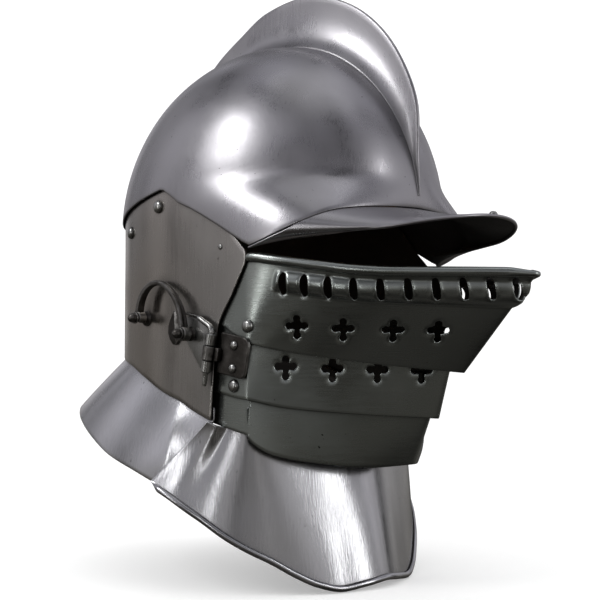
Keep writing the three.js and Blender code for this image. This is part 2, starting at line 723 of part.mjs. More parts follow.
// An outline drawn in the hinge's Y-Z plane, as a slab between two X levels.
function slab(outline, x0, x1) {
  const shape = new THREE.Shape(outline.map(([y, z]) => new THREE.Vector2(y, z)));
  const geometry = new THREE.ExtrudeGeometry(shape, { depth: x1 - x0, bevelEnabled: false });
  const basis = new THREE.Matrix4().makeBasis(
    new THREE.Vector3(0, 1, 0), new THREE.Vector3(0, 0, 1), new THREE.Vector3(1, 0, 0));
  return geometry.applyMatrix4(basis).translate(x0, 0, 0);
}

function roundedOutline(y0, y1, z0, z1, r) {
  const corner = (cy, cz, from) => [0, 30, 60, 90].map((d) =>
    [cy + r * Math.cos(rad(from + d)), cz + r * Math.sin(rad(from + d))]);
  return [
    ...corner(y1 - r, z1 - r, 0), ...corner(y0 + r, z1 - r, 90),
    ...corner(y0 + r, z0 + r, 180), ...corner(y1 - r, z0 + r, 270),
  ];
}

const LEAF = { inner: LAME_W + 0.35 - HINGE.x, thick: 1.9, front: -28.2, back: -3.6, low: -11.1, top: 14 };
const MIDDLE = { z0: -4.4, z1: 4.4 };

// Leaf on the lower lame: a rounded plate, a stepped neck and one open knuckle round the pin.
function buffeLeaf() {
  const outer = LEAF.inner + LEAF.thick;
  const panel = slab(roundedOutline(LEAF.front, LEAF.back, LEAF.low, LEAF.top, 4), LEAF.inner, outer);
  const riser = block(LEAF.inner, -1.2, -6, -2.2, MIDDLE.z0, MIDDLE.z1);
  const knuckle = sleeve(KNUCKLE_R + 0.25, MIDDLE.z0, MIDDLE.z1);
  const throat = block(-PIN_HOLE_R, PIN_HOLE_R, 0, 6, -20, 20);
  return geometryOf(
    solid(panel).add(solid(riser)).add(solid(knuckle))
      .subtract(solid(sleeve(PIN_HOLE_R, -20, 20))).subtract(solid(throat)),
  ).applyMatrix4(hingeFrame);
}

// Leaf on the nape plate, with the two closed knuckles.
function helmetLeaf() {
  const wallX = hullWidth(HINGE.f - 8, HINGE.z, NAPE_IN) + GAP - HINGE.x;
  const outline = [[-1, 12], [13, 18.4], [27, 18.4], [27, 7], [8, -11.4], [-1, -11.4]];
  const strap = slab(outline, wallX, wallX + 1);
  const upper = sleeve(KNUCKLE_R, MIDDLE.z1 + GAP, 12);
  const lower = sleeve(KNUCKLE_R, -12, MIDDLE.z0 - GAP);
  const gate = block(-10, 10, -10, 4.2, MIDDLE.z0 - GAP, MIDDLE.z1 + GAP);
  return geometryOf(
    solid(strap).subtract(solid(gate)).add(solid(upper)).add(solid(lower))
      .subtract(solid(sleeve(PIN_HOLE_R, -40, 40))),
  ).applyMatrix4(hingeFrame);
}

// Lift-out pin: a plain rod whose top is bent back over the upper knuckle and drawn thin.
function hingePin() {
  const local = [
    [0, 0, -20.5], [0, 0, -19.5], [0, 0, 13], [0, 1, 14.8], [0, 3, 16.2],
    [0, 13, 19.6], [-1.2, 15, 19.9], [-2.2, 30, 19.9],
  ].map(([x, y, z]) => new THREE.Vector3(x, y, z));
  const radii = [1.2, PIN_R, PIN_R, PIN_R, 1.7, 1.5, 0.7, 0.6];
  return bar(local, radii, 10).applyMatrix4(hingeFrame);
}

// ---- Latch bail ----
const BAIL = { out: 7, width: 6.4, thick: 3.2, rise: 27, eye: 4.4, hole: STUD_STEM_R + 0.25 };

function bail() {
  const front = at(wallPoint(FRONT_STUD.f, 0, NAPE_IN).x + BAIL.out, FRONT_STUD.f, FRONT_STUD.z);
  const rearX = wallPoint(REAR_STUD.f, 0, NAPE_IN).x + BAIL.out;
  const rear = at(rearX, REAR_STUD.f, REAR_STUD.z);
  const middle = front.clone().add(rear).multiplyScalar(0.5);
  const half = front.clone().sub(middle);
  const flute = [
    [-0.5, 0.28], [-0.32, 0.5], [-0.14, 0.36], [0.14, 0.36], [0.32, 0.5], [0.5, 0.28],
    [0.5, -0.28], [0.32, -0.5], [0.14, -0.36], [-0.14, -0.36], [-0.32, -0.5], [-0.5, -0.28],
  ];
  const loops = range(14).map((t) => {
    const turn = Math.PI * lerp(0.02, 0.98, t);
    const point = middle.clone().addScaledVector(half, Math.cos(turn));
    point.z += BAIL.rise * Math.sin(turn);
    const out = half.clone().multiplyScalar(Math.cos(turn) / half.length());
    out.z += Math.sin(turn);
    out.normalize();
    return flute.map(([w, h]) =>
      point.clone().addScaledVector(LEFT, w * BAIL.width).addScaledVector(out, h * BAIL.thick));
  });
  const disc = (r, width, place, sides) => {
    const geometry = new THREE.CylinderGeometry(r, r, width, sides).rotateZ(Math.PI / 2);
    return geometry.translate(place.x, place.y, place.z);
  };
  // The hook's mouth looks along the arc on which its stud leaves it.
  const swing = Math.atan2(rear.z - front.z, rear.y - front.y);
  const mouth = new THREE.BoxGeometry(40, 2 * BAIL.hole, 12)
    .translate(0, 0, -6).rotateX(swing).translate(rear.x, rear.y, rear.z);
  return geometryOf(
    solid(loft(loops))
      .add(solid(disc(BAIL.eye, BAIL.width - 0.6, front, 14)))
      .add(solid(disc(BAIL.eye, BAIL.width - 0.6, rear, 14)))
      .subtract(solid(disc(BAIL.hole, 40, front, 14)))
      .subtract(solid(disc(BAIL.hole, 40, rear, 14)))
      .subtract(solid(mouth)),
  );
}

// Pointed leaf plate on the nape plate, behind the latch's front stud.
function escutcheon() {
  const half = [[10.5, 0], [4, 4.6], [-4, 6.2], [-10.5, 1.6]];
  const outline = [
    ...half.map(([z, y]) => [y, z]), ...[...half].reverse().map(([z, y]) => [-y, z]),
  ].filter(([y, z], i) => i !== 7 || y !== 0 || z !== half[0][0]);
  const normal = wallNormal(-14.5, 0, NAPE_IN);
  if (normal.x < 0) normal.negate();
  const place = new THREE.Matrix4().makeBasis(
    normal, new THREE.Vector3(0, 0, 1).cross(normal), new THREE.Vector3(0, 0, 1))
    .setPosition(wallPoint(-14.5, 0, NAPE_IN).addScaledVector(normal, 0.6).setZ(-21));
  return slab(outline, 0, 1.2).applyMatrix4(place);
}

// ---- Liner ----
function linerBand() {
  const round = range(32).slice(0, -1).map((t) => 360 * t);
  const levels = [[72, 0], [84, 0], [104, 2.2]];
  const point = (degrees, z, inset) => {
    const phi = rad(degrees > 180 ? degrees - 360 : degrees);
    const edge = Math.max(z, rimZ(Math.abs(degrees > 180 ? degrees - 360 : degrees)) + 6);
    return domePoint(phi, alphaAt(phi, edge), inset);
  };
  const loops = [
    ...levels.map(([z, more]) => round.map((d) => point(d, z, 5 + more))),
    ...[...levels].reverse().map(([z, more]) => round.map((d) => point(d, z, 8 + more))),
  ];
  return loft(loops, { ring: true });
}

const TONGUE = { foot: 106, frontTip: 25, backTip: 37, footHalf: 22, tipHalf: 8.5, thick: 2 };

// A leather tongue from the band up to the crown pad, hung clear of the skull.
function linerTongue(degrees) {
  const phi = rad(degrees);
  const [x, f] = hull(phi, 100, 12);
  const radius = Math.hypot(x, f - CENTRE_F);
  const tip = Math.abs(degrees) > SIDE ? TONGUE.backTip : TONGUE.frontTip;
  const last = Math.acos((tip / radius) ** (domePower(phi) / 2));
  const loops = range(7).map((t) => {
    const alpha = lerp(alphaAt(phi, TONGUE.foot), last, t);
    const across = radius * Math.cos(alpha) ** (2 / domePower(phi));
    const spread = (Math.atan(lerp(TONGUE.footHalf, TONGUE.tipHalf, t) / across) * 180) / Math.PI;
    const inset = lerp(10.4, 12.2, t);
    const side = (offset, more) => domePoint(rad(degrees + offset), alpha, inset + more);
    return [
      side(-spread, 0), side(0, 0), side(spread, 0),
      side(spread, TONGUE.thick), side(0, TONGUE.thick), side(-spread, TONGUE.thick),
    ];
  });
  return loft(loops);
}

function linerCrown() {
  const profile = [[0, 0], [31, 0], [34, 1.2], [34, 3], [30, 4.4], [0, 5.8]];
  return turned(profile, at(0, CENTRE_F, CROWN_Z), new THREE.Vector3(0, 0, 1), 24);
}

// ---- Assembly ----
const FINISH = {
  polished_steel: { color: 0xb4b6ba, roughness: 0.24, metalness: 1 },
  dark_steel: { color: 0x8c918f, roughness: 0.3, metalness: 1 },
  bright_steel: { color: 0xd0d2d6, roughness: 0.16, metalness: 1 },
  black_iron: { color: 0x3c3a38, roughness: 0.45, metalness: 0.9 },
  leather: { color: 0x6b4526, roughness: 0.75, metalness: 0 },
  padding: { color: 0xb9a988, roughness: 0.95, metalness: 0 },
};

function add(group, name, geometry, finish) {
  const mesh = new THREE.Mesh(geometry, new THREE.MeshStandardMaterial(FINISH[finish]));
  mesh.name = name;
  group.add(mesh);
}

// Adds a piece of the left side and its mirror image on the right.
function addPair(group, name, geometry, finish) {
  add(group, `${name}_left`, geometry, finish);
  add(group, `${name}_right`, mirrored(geometry), finish);
}

const root = new THREE.Group();
root.name = "knight_helmet";
const groups = Object.fromEntries(
  ["helmet", "buffe", "upper_plate", "pins", "bails", "liner"].map((name) => {
    const group = new THREE.Group();
    group.name = name;
    root.add(group);
    return [name, group];
  }),
);

add(groups.helmet, "skull", skull(), "polished_steel");
add(groups.helmet, "comb", comb(), "polished_steel");
add(groups.helmet, "peak", peak(), "polished_steel");
add(groups.helmet, "nape_plate", napePlate(), "polished_steel");
add(groups.helmet, "rear_gorget", rearGorget(), "polished_steel");
add(
  groups.helmet, "peak_rivet",
  turned(domed(2.6, 2), peakSurface(0, 0.9).add(new THREE.Vector3(0, 0, 0.9)),
    new THREE.Vector3(0, -0.12, 1)),
  "polished_steel",
);
addPair(groups.helmet, "nape_rivet_front", wallRivet(-34, 58, 4.1, 2.6), "polished_steel");
addPair(groups.helmet, "nape_rivet_back", wallRivet(-75, 45, 4.1, 2.6), "polished_steel");
addPair(groups.helmet, "cheek_rivet", wallRivet(25, 28, 1.7, 0.8), "dark_steel");
addPair(groups.helmet, "helmet_leaf", helmetLeaf(), "dark_steel");
addPair(groups.helmet, "front_stud", stud(FRONT_STUD, 1.7, 14), "black_iron");
addPair(groups.helmet, "rear_stud", stud(REAR_STUD, 1.7, 14), "black_iron");
addPair(groups.helmet, "escutcheon", escutcheon(), "black_iron");

add(groups.buffe, "lower_lame", lowerLame(), "dark_steel");
add(groups.buffe, "chin_plate", chinPlate(), "dark_steel");
add(groups.buffe, "front_gorget", frontGorget(), "bright_steel");
addPair(groups.buffe, "buffe_leaf", buffeLeaf(), "black_iron");
const leafOuter = HINGE.x + LEAF.inner + LEAF.thick + 0.05;
for (const [level, place] of Object.entries(LEAF_RIVETS))
  addPair(
    groups.buffe, `leaf_rivet_${level}`, flatRivet(leafOuter, place, 2.8, 2), "polished_steel");
addPair(
  groups.buffe, "lower_rivet",
  flatRivet(LAME_W - LAME_STEP + 0.1, LOWER_RIVET, 4, 2.6, 5), "polished_steel");

add(groups.upper_plate, "upper_lame", upperLame(), "dark_steel");
addPair(groups.upper_plate, "pivot_rivet", flatRivet(LAME_W + 0.1, PIVOT, 4, 2.6, 4.5), "polished_steel");

addPair(groups.pins, "hinge_pin", hingePin(), "polished_steel");
addPair(groups.bails, "bail", bail(), "black_iron");

add(groups.liner, "liner_band", linerBand(), "leather");
[0, 60, 120, 180, -120, -60].forEach((degrees, i) =>
  add(groups.liner, `liner_tongue_${i + 1}`, linerTongue(degrees), "leather"));
add(groups.liner, "liner_crown", linerCrown(), "padding");

// The frame's origin is the middle of the crown pad's underside.
root.position.set(0, CENTRE_F, -CROWN_Z);

export default root;
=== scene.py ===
"""Looks of a knight's burgonet: plates, comb, peak, buffe, gorget, hinges, bails and liner.

Shapes are worked out in millimetres in the helmet's own frame (x to the wearer's left,
f forward, z up from the ear line) and turned into the solid model's frame by to_frame.
"""
import math

import bmesh
import bpy
import numpy as np
from mathutils import Matrix, Vector


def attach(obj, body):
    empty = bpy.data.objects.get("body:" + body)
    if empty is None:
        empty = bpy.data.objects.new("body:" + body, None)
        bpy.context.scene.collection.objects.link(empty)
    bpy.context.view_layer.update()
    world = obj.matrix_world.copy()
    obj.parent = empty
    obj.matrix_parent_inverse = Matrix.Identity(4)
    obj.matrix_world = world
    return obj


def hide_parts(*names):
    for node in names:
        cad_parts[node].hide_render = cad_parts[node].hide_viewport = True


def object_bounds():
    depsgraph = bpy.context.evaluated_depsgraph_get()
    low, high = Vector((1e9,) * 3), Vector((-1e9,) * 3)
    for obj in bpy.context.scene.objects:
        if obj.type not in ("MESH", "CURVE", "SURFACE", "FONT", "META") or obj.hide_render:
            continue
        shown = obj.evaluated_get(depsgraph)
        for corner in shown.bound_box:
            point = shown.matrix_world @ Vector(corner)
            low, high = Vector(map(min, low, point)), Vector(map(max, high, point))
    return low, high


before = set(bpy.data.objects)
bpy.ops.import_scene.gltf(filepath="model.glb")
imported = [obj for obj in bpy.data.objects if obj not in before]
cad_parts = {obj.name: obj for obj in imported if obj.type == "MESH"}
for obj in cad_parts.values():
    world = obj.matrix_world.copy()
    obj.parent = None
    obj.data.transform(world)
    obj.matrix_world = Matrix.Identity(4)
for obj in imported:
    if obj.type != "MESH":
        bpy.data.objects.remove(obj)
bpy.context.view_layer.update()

# ---- Driving dimensions, the same as the solid model's ----
SHEET = 1.2
CENTRE_F = -12.0
SKULL_A = 98.5
SKULL_B = 117.5
SKULL_BACK = 125.5
DOME_Z = 48.0
DOME_H = 126.0
NAPE_IN = 2.3
COLLAR_IN = 4.6
CROWN_Z = 148.0
LAME_W = 93.6
LAME_STEP = SHEET + 0.5
BEND_F = 44.0
REAR_F = 9.5
STRAIGHT_T = 0.84
PIVOT = (46.0, -21.0)
LOWER_RIVET = (33.0, -57.0)
HINGE = (100.2, 19.2, -37.0)
HINGE_LEAN = 0.2
FRONT_STUD = (0.0, -25.0)
REAR_STUD = (-47.0, -14.0)
MM = 0.001
LEFT = (1.0, 0.0, 0.0)

# ---- Camera, at the viewing angle of the picture ----
CAMERA_AZIMUTH = math.radians(-48)
CAMERA_ELEVATION = math.radians(-3)
CAMERA_DISTANCE = 0.8
LENS_MM = 69.84


def direction(azimuth, elevation):
    """The way from the helmet to something seen at these angles, 0 being straight ahead."""
    level = math.cos(elevation)
    return Vector((
        math.sin(azimuth) * level, -math.cos(azimuth) * level, math.sin(elevation)))


def add_object(name, data):
    thing = bpy.data.objects.new(name, data)
    bpy.context.scene.collection.objects.link(thing)
    return thing


def make_camera():
    target = Vector((0, CENTRE_F * MM, -CROWN_Z * MM))
    back = direction(CAMERA_AZIMUTH, CAMERA_ELEVATION)
    data = bpy.data.cameras.new("camera")
    data.sensor_width = 36
    data.lens = LENS_MM
    data.shift_x = 0.0083
    data.clip_start = 0.01
    camera = add_object("camera", data)
    camera.location = target + back * CAMERA_DISTANCE
    camera.rotation_mode = "QUATERNION"
    camera.rotation_quaternion = (-back).to_track_quat("-Z", "Y")
    bpy.context.scene.camera = camera


make_camera()


# ---- Small helpers ----
def at(x, f, z):
    return np.stack(np.broadcast_arrays(x, -np.asarray(f, float), z), axis=-1).astype(float)


def to_frame(points):
    return (np.asarray(points, float) + [0, CENTRE_F, -CROWN_Z]) * MM


def lerp(a, b, t):
    return a + (b - a) * t


def smooth(t):
    t = np.clip(t, 0, 1)
    return t * t * (3 - 2 * t)


def power(c, p):
    return np.sign(c) * np.abs(c) ** p


def unit(v):
    return v / np.maximum(np.linalg.norm(v, axis=-1, keepdims=True), 1e-12)


def through(points):
    """A smooth line through a few (x, y) points, with no overshoot between them."""
    xs, ys = np.array(points, float).T
    slopes = np.diff(ys) / np.diff(xs)
    tangents = np.concatenate([slopes[:1], np.zeros(len(xs) - 2), slopes[-1:]])
    before, after = slopes[:-1], slopes[1:]
    same = before * after > 0
    total = np.where(same, before + after, 1)
    tangents[1:-1] = np.where(same, 2 * before * after / total, 0)

    def curve(x):
        x = np.clip(x, xs[0], xs[-1])
        i = np.clip(np.searchsorted(xs, x) - 1, 0, len(xs) - 2)
        gap = xs[i + 1] - xs[i]
        t = (x - xs[i]) / gap
        start, end = tangents[i] * gap, tangents[i + 1] * gap
        return (
            (2 * t**3 - 3 * t**2 + 1) * ys[i] + (t**3 - 2 * t**2 + t) * start
            + (3 * t**2 - 2 * t**3) * ys[i + 1] + (t**3 - t**2) * end
        )

    return curve


def even(points):
    """A smooth line through points that is the same on both sides of 0."""
    return through([(-x, y) for x, y in points[:0:-1]] + points)


def spaced(*parts):
    """Values through (start, end, count) stretches, each end used once."""
    values = [np.linspace(a, b, n, endpoint=False) for a, b, n in parts]
    return np.concatenate([*values, [parts[-1][1]]])


def both_sides(ts):
    return np.concatenate([-ts[:0:-1], ts])


def full_turn(count):
    return np.linspace(0, 2 * math.pi, count, endpoint=False)


def run_along(points):
    """Distance along a path at each of its points."""
    return np.concatenate([[0], np.cumsum(np.linalg.norm(np.diff(points, axis=0), axis=1))])


def side_axes(axis, lean):
    """An axis made unit long, and two more square to it; lean sets where the first one points."""
    axis = unit(np.array(axis, float))
    side = unit(np.cross(axis, [lean, 0.1, 1.0] if abs(axis[2]) < 0.9 else [1.0, 0.2, 0.0]))
    return axis, side, np.cross(axis, side)


# ---- Mesh building ----
def shade(mesh, sharp):
    mesh.shade_smooth()
    mesh.set_sharp_from_angle(angle=math.radians(sharp))


def new_piece(name, points, faces, uvs=None, sharp=50):
    """A mesh object from frame points in mm; uvs holds one (u, v) in metres per face corner."""
    mesh = bpy.data.meshes.new(name)
    mesh.from_pydata(to_frame(points).tolist(), [], [list(map(int, f)) for f in faces])
    if uvs is not None:
        layer = mesh.uv_layers.new(name="grain")
        layer.data.foreach_set("uv", (np.asarray(uvs, float) * MM).astype(np.float32).ravel())
    mesh.validate()
    shade(mesh, sharp)
    return add_object(name, mesh)


def outward(surface, u, v, away):
    """Unit normals of a surface, pointing the way that away(points) does, where it is given."""
    e = 1e-4
    along = surface(u + e, v) - surface(u - e, v)
    across = surface(u, v + e) - surface(u, v - e)
    normal = np.cross(along, across)
    if away is None:
        return -unit(normal)
    return unit(normal) * np.sign(np.sum(normal * away(surface(u, v)), -1))[..., None]


def from_core(points):
    """Roughly outwards from the middle of the head."""
    core = np.zeros_like(points)
    core[..., 1] = -(CENTRE_F - 20)
    core[..., 2] = points[..., 2]
    return points - core


def snap_to_edge(u, v, keep):
    """Moves grid nodes that lie close to the trimming line onto it."""
    best = np.full(keep.shape, 0.35)
    target = {}
    for di, dj in ((1, 0), (0, 1)):
        here = (slice(0, keep.shape[0] - di), slice(0, keep.shape[1] - dj))
        there = (slice(di, None), slice(dj, None))
        crossing = np.argwhere(keep[here] * keep[there] < 0)
        for i, j in crossing:
            a, b = (i, j), (i + di, j + dj)
            t = keep[a] / (keep[a] - keep[b])
            for node, other, share in ((a, b, t), (b, a, 1 - t)):
                if share < best[node]:
                    best[node] = share
                    target[node] = (
                        lerp(u[node], u[other], share), lerp(v[node], v[other], share))
    for node, (new_u, new_v) in target.items():
        u[node], v[node], keep[node] = new_u, new_v, 0.0


def trimmed_grid(us, vs, field, ring):
    """Nodes (u, v) and polygons of a grid, cut along field = 0 and kept where it is positive.

    Polygon corners are (node, turn): turn is 1 where a ring closes past its last column.
    """
    u, v = (a.copy() for a in np.meshgrid(us, vs, indexing="ij"))
    keep = np.ones(u.shape) if field is None else field(u, v)
    if field is not None:
        snap_to_edge(u, v, keep)
    rows, columns = u.shape[1], u.shape[0]
    nodes = list(zip(u.ravel(), v.ravel()))
    crossings = {}

    def cross(a, b):
        key = (min(a, b), max(a, b))
        if key not in crossings:
            (ua, va), (ub, vb) = nodes[a], nodes[b]
            ka, kb = keep.ravel()[a], keep.ravel()[b]
            t = ka / (ka - kb)
            crossings[key] = len(nodes)
            nodes.append((lerp(ua, ub, t), lerp(va, vb, t)))
        return crossings[key]

    polygons = []
    flat = keep.ravel()
    for i in range(columns if ring else columns - 1):
        for j in range(rows - 1):
            wrapped = (i + 1) % columns
            turn = int(i + 1 == columns)
            corners = [
                (i * rows + j, 0), (wrapped * rows + j, turn),
                (wrapped * rows + j + 1, turn), (i * rows + j + 1, 0),
            ]
            values = [flat[c[0]] for c in corners]
            if max(values) <= 0:
                continue
            if min(values) >= 0:
                polygons.append(corners)
                continue
            outline = []
            for k, corner in enumerate(corners):
                following = corners[(k + 1) % 4]
                if values[k] >= 0:
                    outline.append(corner)
                if values[k] * values[(k + 1) % 4] < 0:
                    outline.append((cross(corner[0], following[0]), 0))
            if len(outline) > 2:
                polygons.append(outline)
    used = sorted({c[0] for p in polygons for c in p})
    place = {n: k for k, n in enumerate(used)}
    uv = np.array([nodes[n] for n in used])
    return uv, [[(place[n], turn) for n, turn in p] for p in polygons]


def edge_loops(polygons):
    """Loops of nodes along the free edges, each running with its polygons."""
    edges = {}
    for p in polygons:
        for k, a in enumerate(p):
            edges[(a, p[(k + 1) % len(p)])] = True
    following = {}
    for a, b in edges:
        if (b, a) not in edges:
            following.setdefault(a, []).append(b)
    loops = []
    while following:
        start = next(iter(following))
        loop, node = [], start
        while True:
            loop.append(node)
            onward = following[node].pop()
            if not following[node]:
                del following[node]
            node = onward
            if node == start or node not in following:
                break
        loops.append(loop)
    return loops


def plate(name, surface, us, vs, away=from_core, relief=None, field=None, roll=None,
          ring=False, pole=False, thick=SHEET, grain=(1.0, 1.0), round_steps=3):
    """A sheet of steel with rounded edges, as one closed mesh.

    relief(u, v) lifts both faces; roll(u, v) gives the radius of the rolled edge and how far
    it is lifted outwards, where an edge is rolled round a wire.
    """
    uv, polygons = trimmed_grid(np.asarray(us, float), np.asarray(vs, float), field, ring)
    u, v = uv.T
    if pole:
        top = set(np.flatnonzero(v >= max(vs) - 1e-9))
        first = min(top)
        polygons = [[(first, t) if n in top else (n, t) for n, t in p] for p in polygons]
        polygons = [
            [c for k, c in enumerate(p) if c[0] != p[k - 1][0]] for p in polygons]
        kept = sorted({n for p in polygons for n, _ in p})
        place = {n: k for k, n in enumerate(kept)}
        polygons = [[(place[n], t) for n, t in p] for p in polygons]
        uv = uv[kept]
        u, v = uv.T
    base = surface(u, v)
    normal = outward(surface, u, np.clip(v, min(vs) + 1e-3, max(vs) - 1e-3), away)
    lift = np.zeros(len(u)) if relief is None else relief(u, v)
    outer = base + normal * lift[:, None]
    inner = outer - normal * thick
    corner = polygons[0]
    a, b, c = (base[corner[k][0]] for k in (0, 1, 2))
    if np.dot(np.cross(b - a, c - b), normal[corner[0][0]]) < 0:
        polygons = [p[::-1] for p in polygons]

    count = len(u)
    span = (max(us) - min(us)) * (len(us) / (len(us) - 1) if ring else 1)
    size = np.array(grain)
    points = [outer, inner]
    faces = [[n for n, _ in p] for p in polygons]
    coords = [(uv[n] + [turn * span, 0]) * size for p in polygons for n, turn in p]
    faces += [[n + count for n, _ in reversed(p)] for p in polygons]
    coords += [(uv[n] + [turn * span, 0]) * size for p in polygons for n, turn in reversed(p)]

    half = thick / 2
    total = 2 * count
    for loop in edge_loops([[n for n, _ in p] for p in polygons]):
        loop = np.array(loop)
        here = base[loop]
        run = np.roll(here, -1, 0) - np.roll(here, 1, 0)
        out = unit(np.cross(run, normal[loop]))
        middle = outer[loop] - normal[loop] * half
        radius, raised = (np.full(len(loop), half), np.zeros(len(loop)))
        steps = round_steps
        if roll is not None:
            radius, raised = roll(u[loop], v[loop])
            radius = np.maximum(radius, half)
            if radius.max() > half * 1.5:
                steps = 11
        off = raised * (radius - half)
        reach = np.sqrt(np.maximum(radius**2 - (half + np.abs(off)) ** 2, 0))
        first = math.pi - np.arctan2(half - off, reach + 1e-9)
        last = -math.pi + np.arctan2(half + off, reach + 1e-9)
        rows = [loop]
        for k in range(1, steps + 1):
            turn = lerp(first, last, k / (steps + 1))
            row = (
                middle + out * (reach + radius * np.cos(turn))[:, None]
                + normal[loop] * (off + radius * np.sin(turn))[:, None]
            )
            points.append(row)
            rows.append(np.arange(total, total + len(loop)))
            total += len(loop)
        rows.append(loop + count)
        for near, far in zip(rows, rows[1:]):
            for k in range(len(loop)):
                m = (k + 1) % len(loop)
                faces.append([near[m], near[k], far[k], far[m]])
                coords += [uv[loop[q]] * size for q in (m, k, k, m)]
    return new_piece(name, np.concatenate(points), faces, coords)


def lathe(name, profile, base, axis, sides=28, sharp=40):
    """A turned piece from (radius, height) pairs that start and end on the axis."""
    axis, side, other = side_axes(axis, 0.3)
    turns = full_turn(sides)
    ring = np.outer(np.cos(turns), side) + np.outer(np.sin(turns), other)
    points = [np.array([base + axis * profile[0][1]])]
    points += [base + axis * h + ring * r for r, h in profile[1:-1]]
    points.append(np.array([base + axis * profile[-1][1]]))
    faces = []
    rows = len(profile) - 2
    for k in range(sides):
        m = (k + 1) % sides
        faces.append([0, 1 + m, 1 + k])
        for r in range(rows - 1):
            a = 1 + r * sides
            faces.append([a + k, a + m, a + sides + m, a + sides + k])
        end = 1 + (rows - 1) * sides
        faces.append([end + k, end + m, end + sides])
    return new_piece(name, np.concatenate(points), faces, sharp=sharp)


def loft(name, loops, sharp=50, closed=False):
    """Joins equal loops of points; open rows are capped at both ends."""
    count = len(loops[0])
    points = np.concatenate(loops)
    faces = []
    rows = len(loops) if closed else len(loops) - 1
    for i in range(rows):
        a, b = i * count, ((i + 1) % len(loops)) * count
        for k in range(count):
            m = (k + 1) % count
            faces.append([a + k, a + m, b + m, b + k])
    if not closed:
        last = (len(loops) - 1) * count
        faces.append(list(range(count))[::-1])
        faces.append([last + k for k in range(count)])
    piece = new_piece(name, points, faces, sharp=sharp)
    face_out(piece)
    return piece


def face_out(piece):
    """Turns every face of a closed mesh outwards."""
    shape = bmesh.new()
    shape.from_mesh(piece.data)
    bmesh.ops.recalc_face_normals(shape, faces=shape.faces)
    if shape.calc_volume(signed=True) < 0:
        bmesh.ops.reverse_faces(shape, faces=shape.faces)
    shape.to_mesh(piece.data)
    shape.free()


def tube(name, points, radii, flat, sides=16, sharp=60):
    """A bar through points, with a radius at each; flat is how far its side is pressed in."""
    points = np.asarray(points, float)
    along = unit(np.gradient(points, axis=0))
    side = np.array(LEFT)
    turns = full_turn(sides)
    loops = []
    for point, way, radius, pressed in zip(points, along, radii, flat):
        side = unit(side - way * side.dot(way))
        other = np.cross(way, side)
        round_it = np.outer(np.cos(turns) * pressed, side) + np.outer(np.sin(turns), other)
        loops.append(point + radius * round_it)
    return loft(name, loops, sharp=sharp)


def smooth_path(knots, count):
    """Evenly spaced points on a smooth curve through a few knots."""
    knots = np.asarray(knots, float)
    length = run_along(knots)
    t = np.linspace(0, length[-1], count)
    return np.stack([through(list(zip(length, knots[:, k])))(t) for k in range(3)], -1)


def mirrored(piece, name):
    copy = piece.copy()
    copy.data = piece.data.copy()
    copy.name = copy.data.name = name
    copy.data.transform(Matrix.Scale(-1, 4, (1, 0, 0)))
    copy.data.flip_normals()
    bpy.context.scene.collection.objects.link(copy)
    return copy


def place(piece, body, nodes, slot, material):
    piece.data.materials.clear()
    piece.data.materials.append(material)
    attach(piece, body)
    if nodes:
        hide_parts(*nodes)


def place_pair(piece, body, node, slot, material):
    """Places a left piece and its mirror image; body may hold SIDE for the side, and node gets
    _left or _right added.
    """
    base = piece.name
    twin = mirrored(piece, f"{base}_right")
    piece.name = f"{base}_left"
    for one, side in ((piece, "left"), (twin, "right")):
        place(one, body.replace("SIDE", side), [f"{node}_{side}"], slot, material)


# ---- The shape of the head, as in the solid model ----
ELLIPSE = 2.0


def squareness(z):
    """The front of the plan curve grows from an ellipse to a squarer shape further down."""
    return ELLIPSE + 3 * smooth((75 - z) / 55)


def hull(phi, z, inset):
    s, c = np.sin(phi), np.cos(phi)
    m = np.where(c > 0, squareness(z), ELLIPSE)
    length = np.where(c > 0, SKULL_B, SKULL_BACK) - inset
    return (SKULL_A - inset) * power(s, 2 / m), CENTRE_F + length * power(c, 2 / m)


def hull_width(f, z, inset):
    m = squareness(z)
    along = np.clip((f - CENTRE_F) / (SKULL_B - inset), 0, 1)
    return (SKULL_A - inset) * (1 - along**m) ** (1 / m)


def dome_power(phi):
    return 2.05 + 0.08 * np.cos(phi)


def dome_point(phi, alpha, inset=0.0):
    n = dome_power(phi)
    above = alpha > 0
    lifted = np.clip(alpha, 0, math.pi / 2)
    rise = np.where(above, np.sin(lifted) ** (2 / n), alpha)
    shrink = np.where(above, np.maximum(np.cos(lifted), 0) ** (2 / n), 1.0)
    z = DOME_Z + (DOME_H - inset) * rise
    x, f = hull(phi, z, inset)
    return at(x * shrink, CENTRE_F + (f - CENTRE_F) * shrink, z)


RIM_FRONT = through([(0, 54.5), (30, 49.5), (50, 41), (66, 33.5), (78, 27.5)])
RIM_SIDE = through([(78, 27.5), (82, 35), (90, 59), (98, 69.5)])
RIM_BACK = through([(98, 69.5), (122, 61), (148, 53), (180, 51)])


def rim_z(degrees):
    return np.where(
        degrees < 78, RIM_FRONT(degrees),
        np.where(degrees < 98, RIM_SIDE(degrees), RIM_BACK(degrees)))


def shrink_at(phi, z, inset):
    n = dome_power(phi)
    return (1 - np.clip((z - DOME_Z) / (DOME_H - inset), 0, 1) ** n) ** (1 / n)


def alpha_at(phi, z):
    h = (z - DOME_Z) / DOME_H
    return np.where(h > 0, np.arcsin(np.clip(h, 0, 1) ** (dome_power(phi) / 2)), h)


def skull_surface(degrees, w):
    phi = np.radians(degrees)
    turned = np.abs((degrees + 180) % 360 - 180)
    start = alpha_at(phi, rim_z(turned))
    return dome_point(phi, lerp(start, math.pi / 2, w))


COMB_HEIGHT = through([
    (7, 1), (13.5, 2.4), (19.5, 4.9), (25.5, 9.4), (33, 16), (44, 22.4), (56, 29.2),
    (67, 34), (79, 36.8), (95, 32), (106, 23.9), (116, 19.3), (137, 9), (152, 3.6),
    (163, 2), (170, 1.2),
])


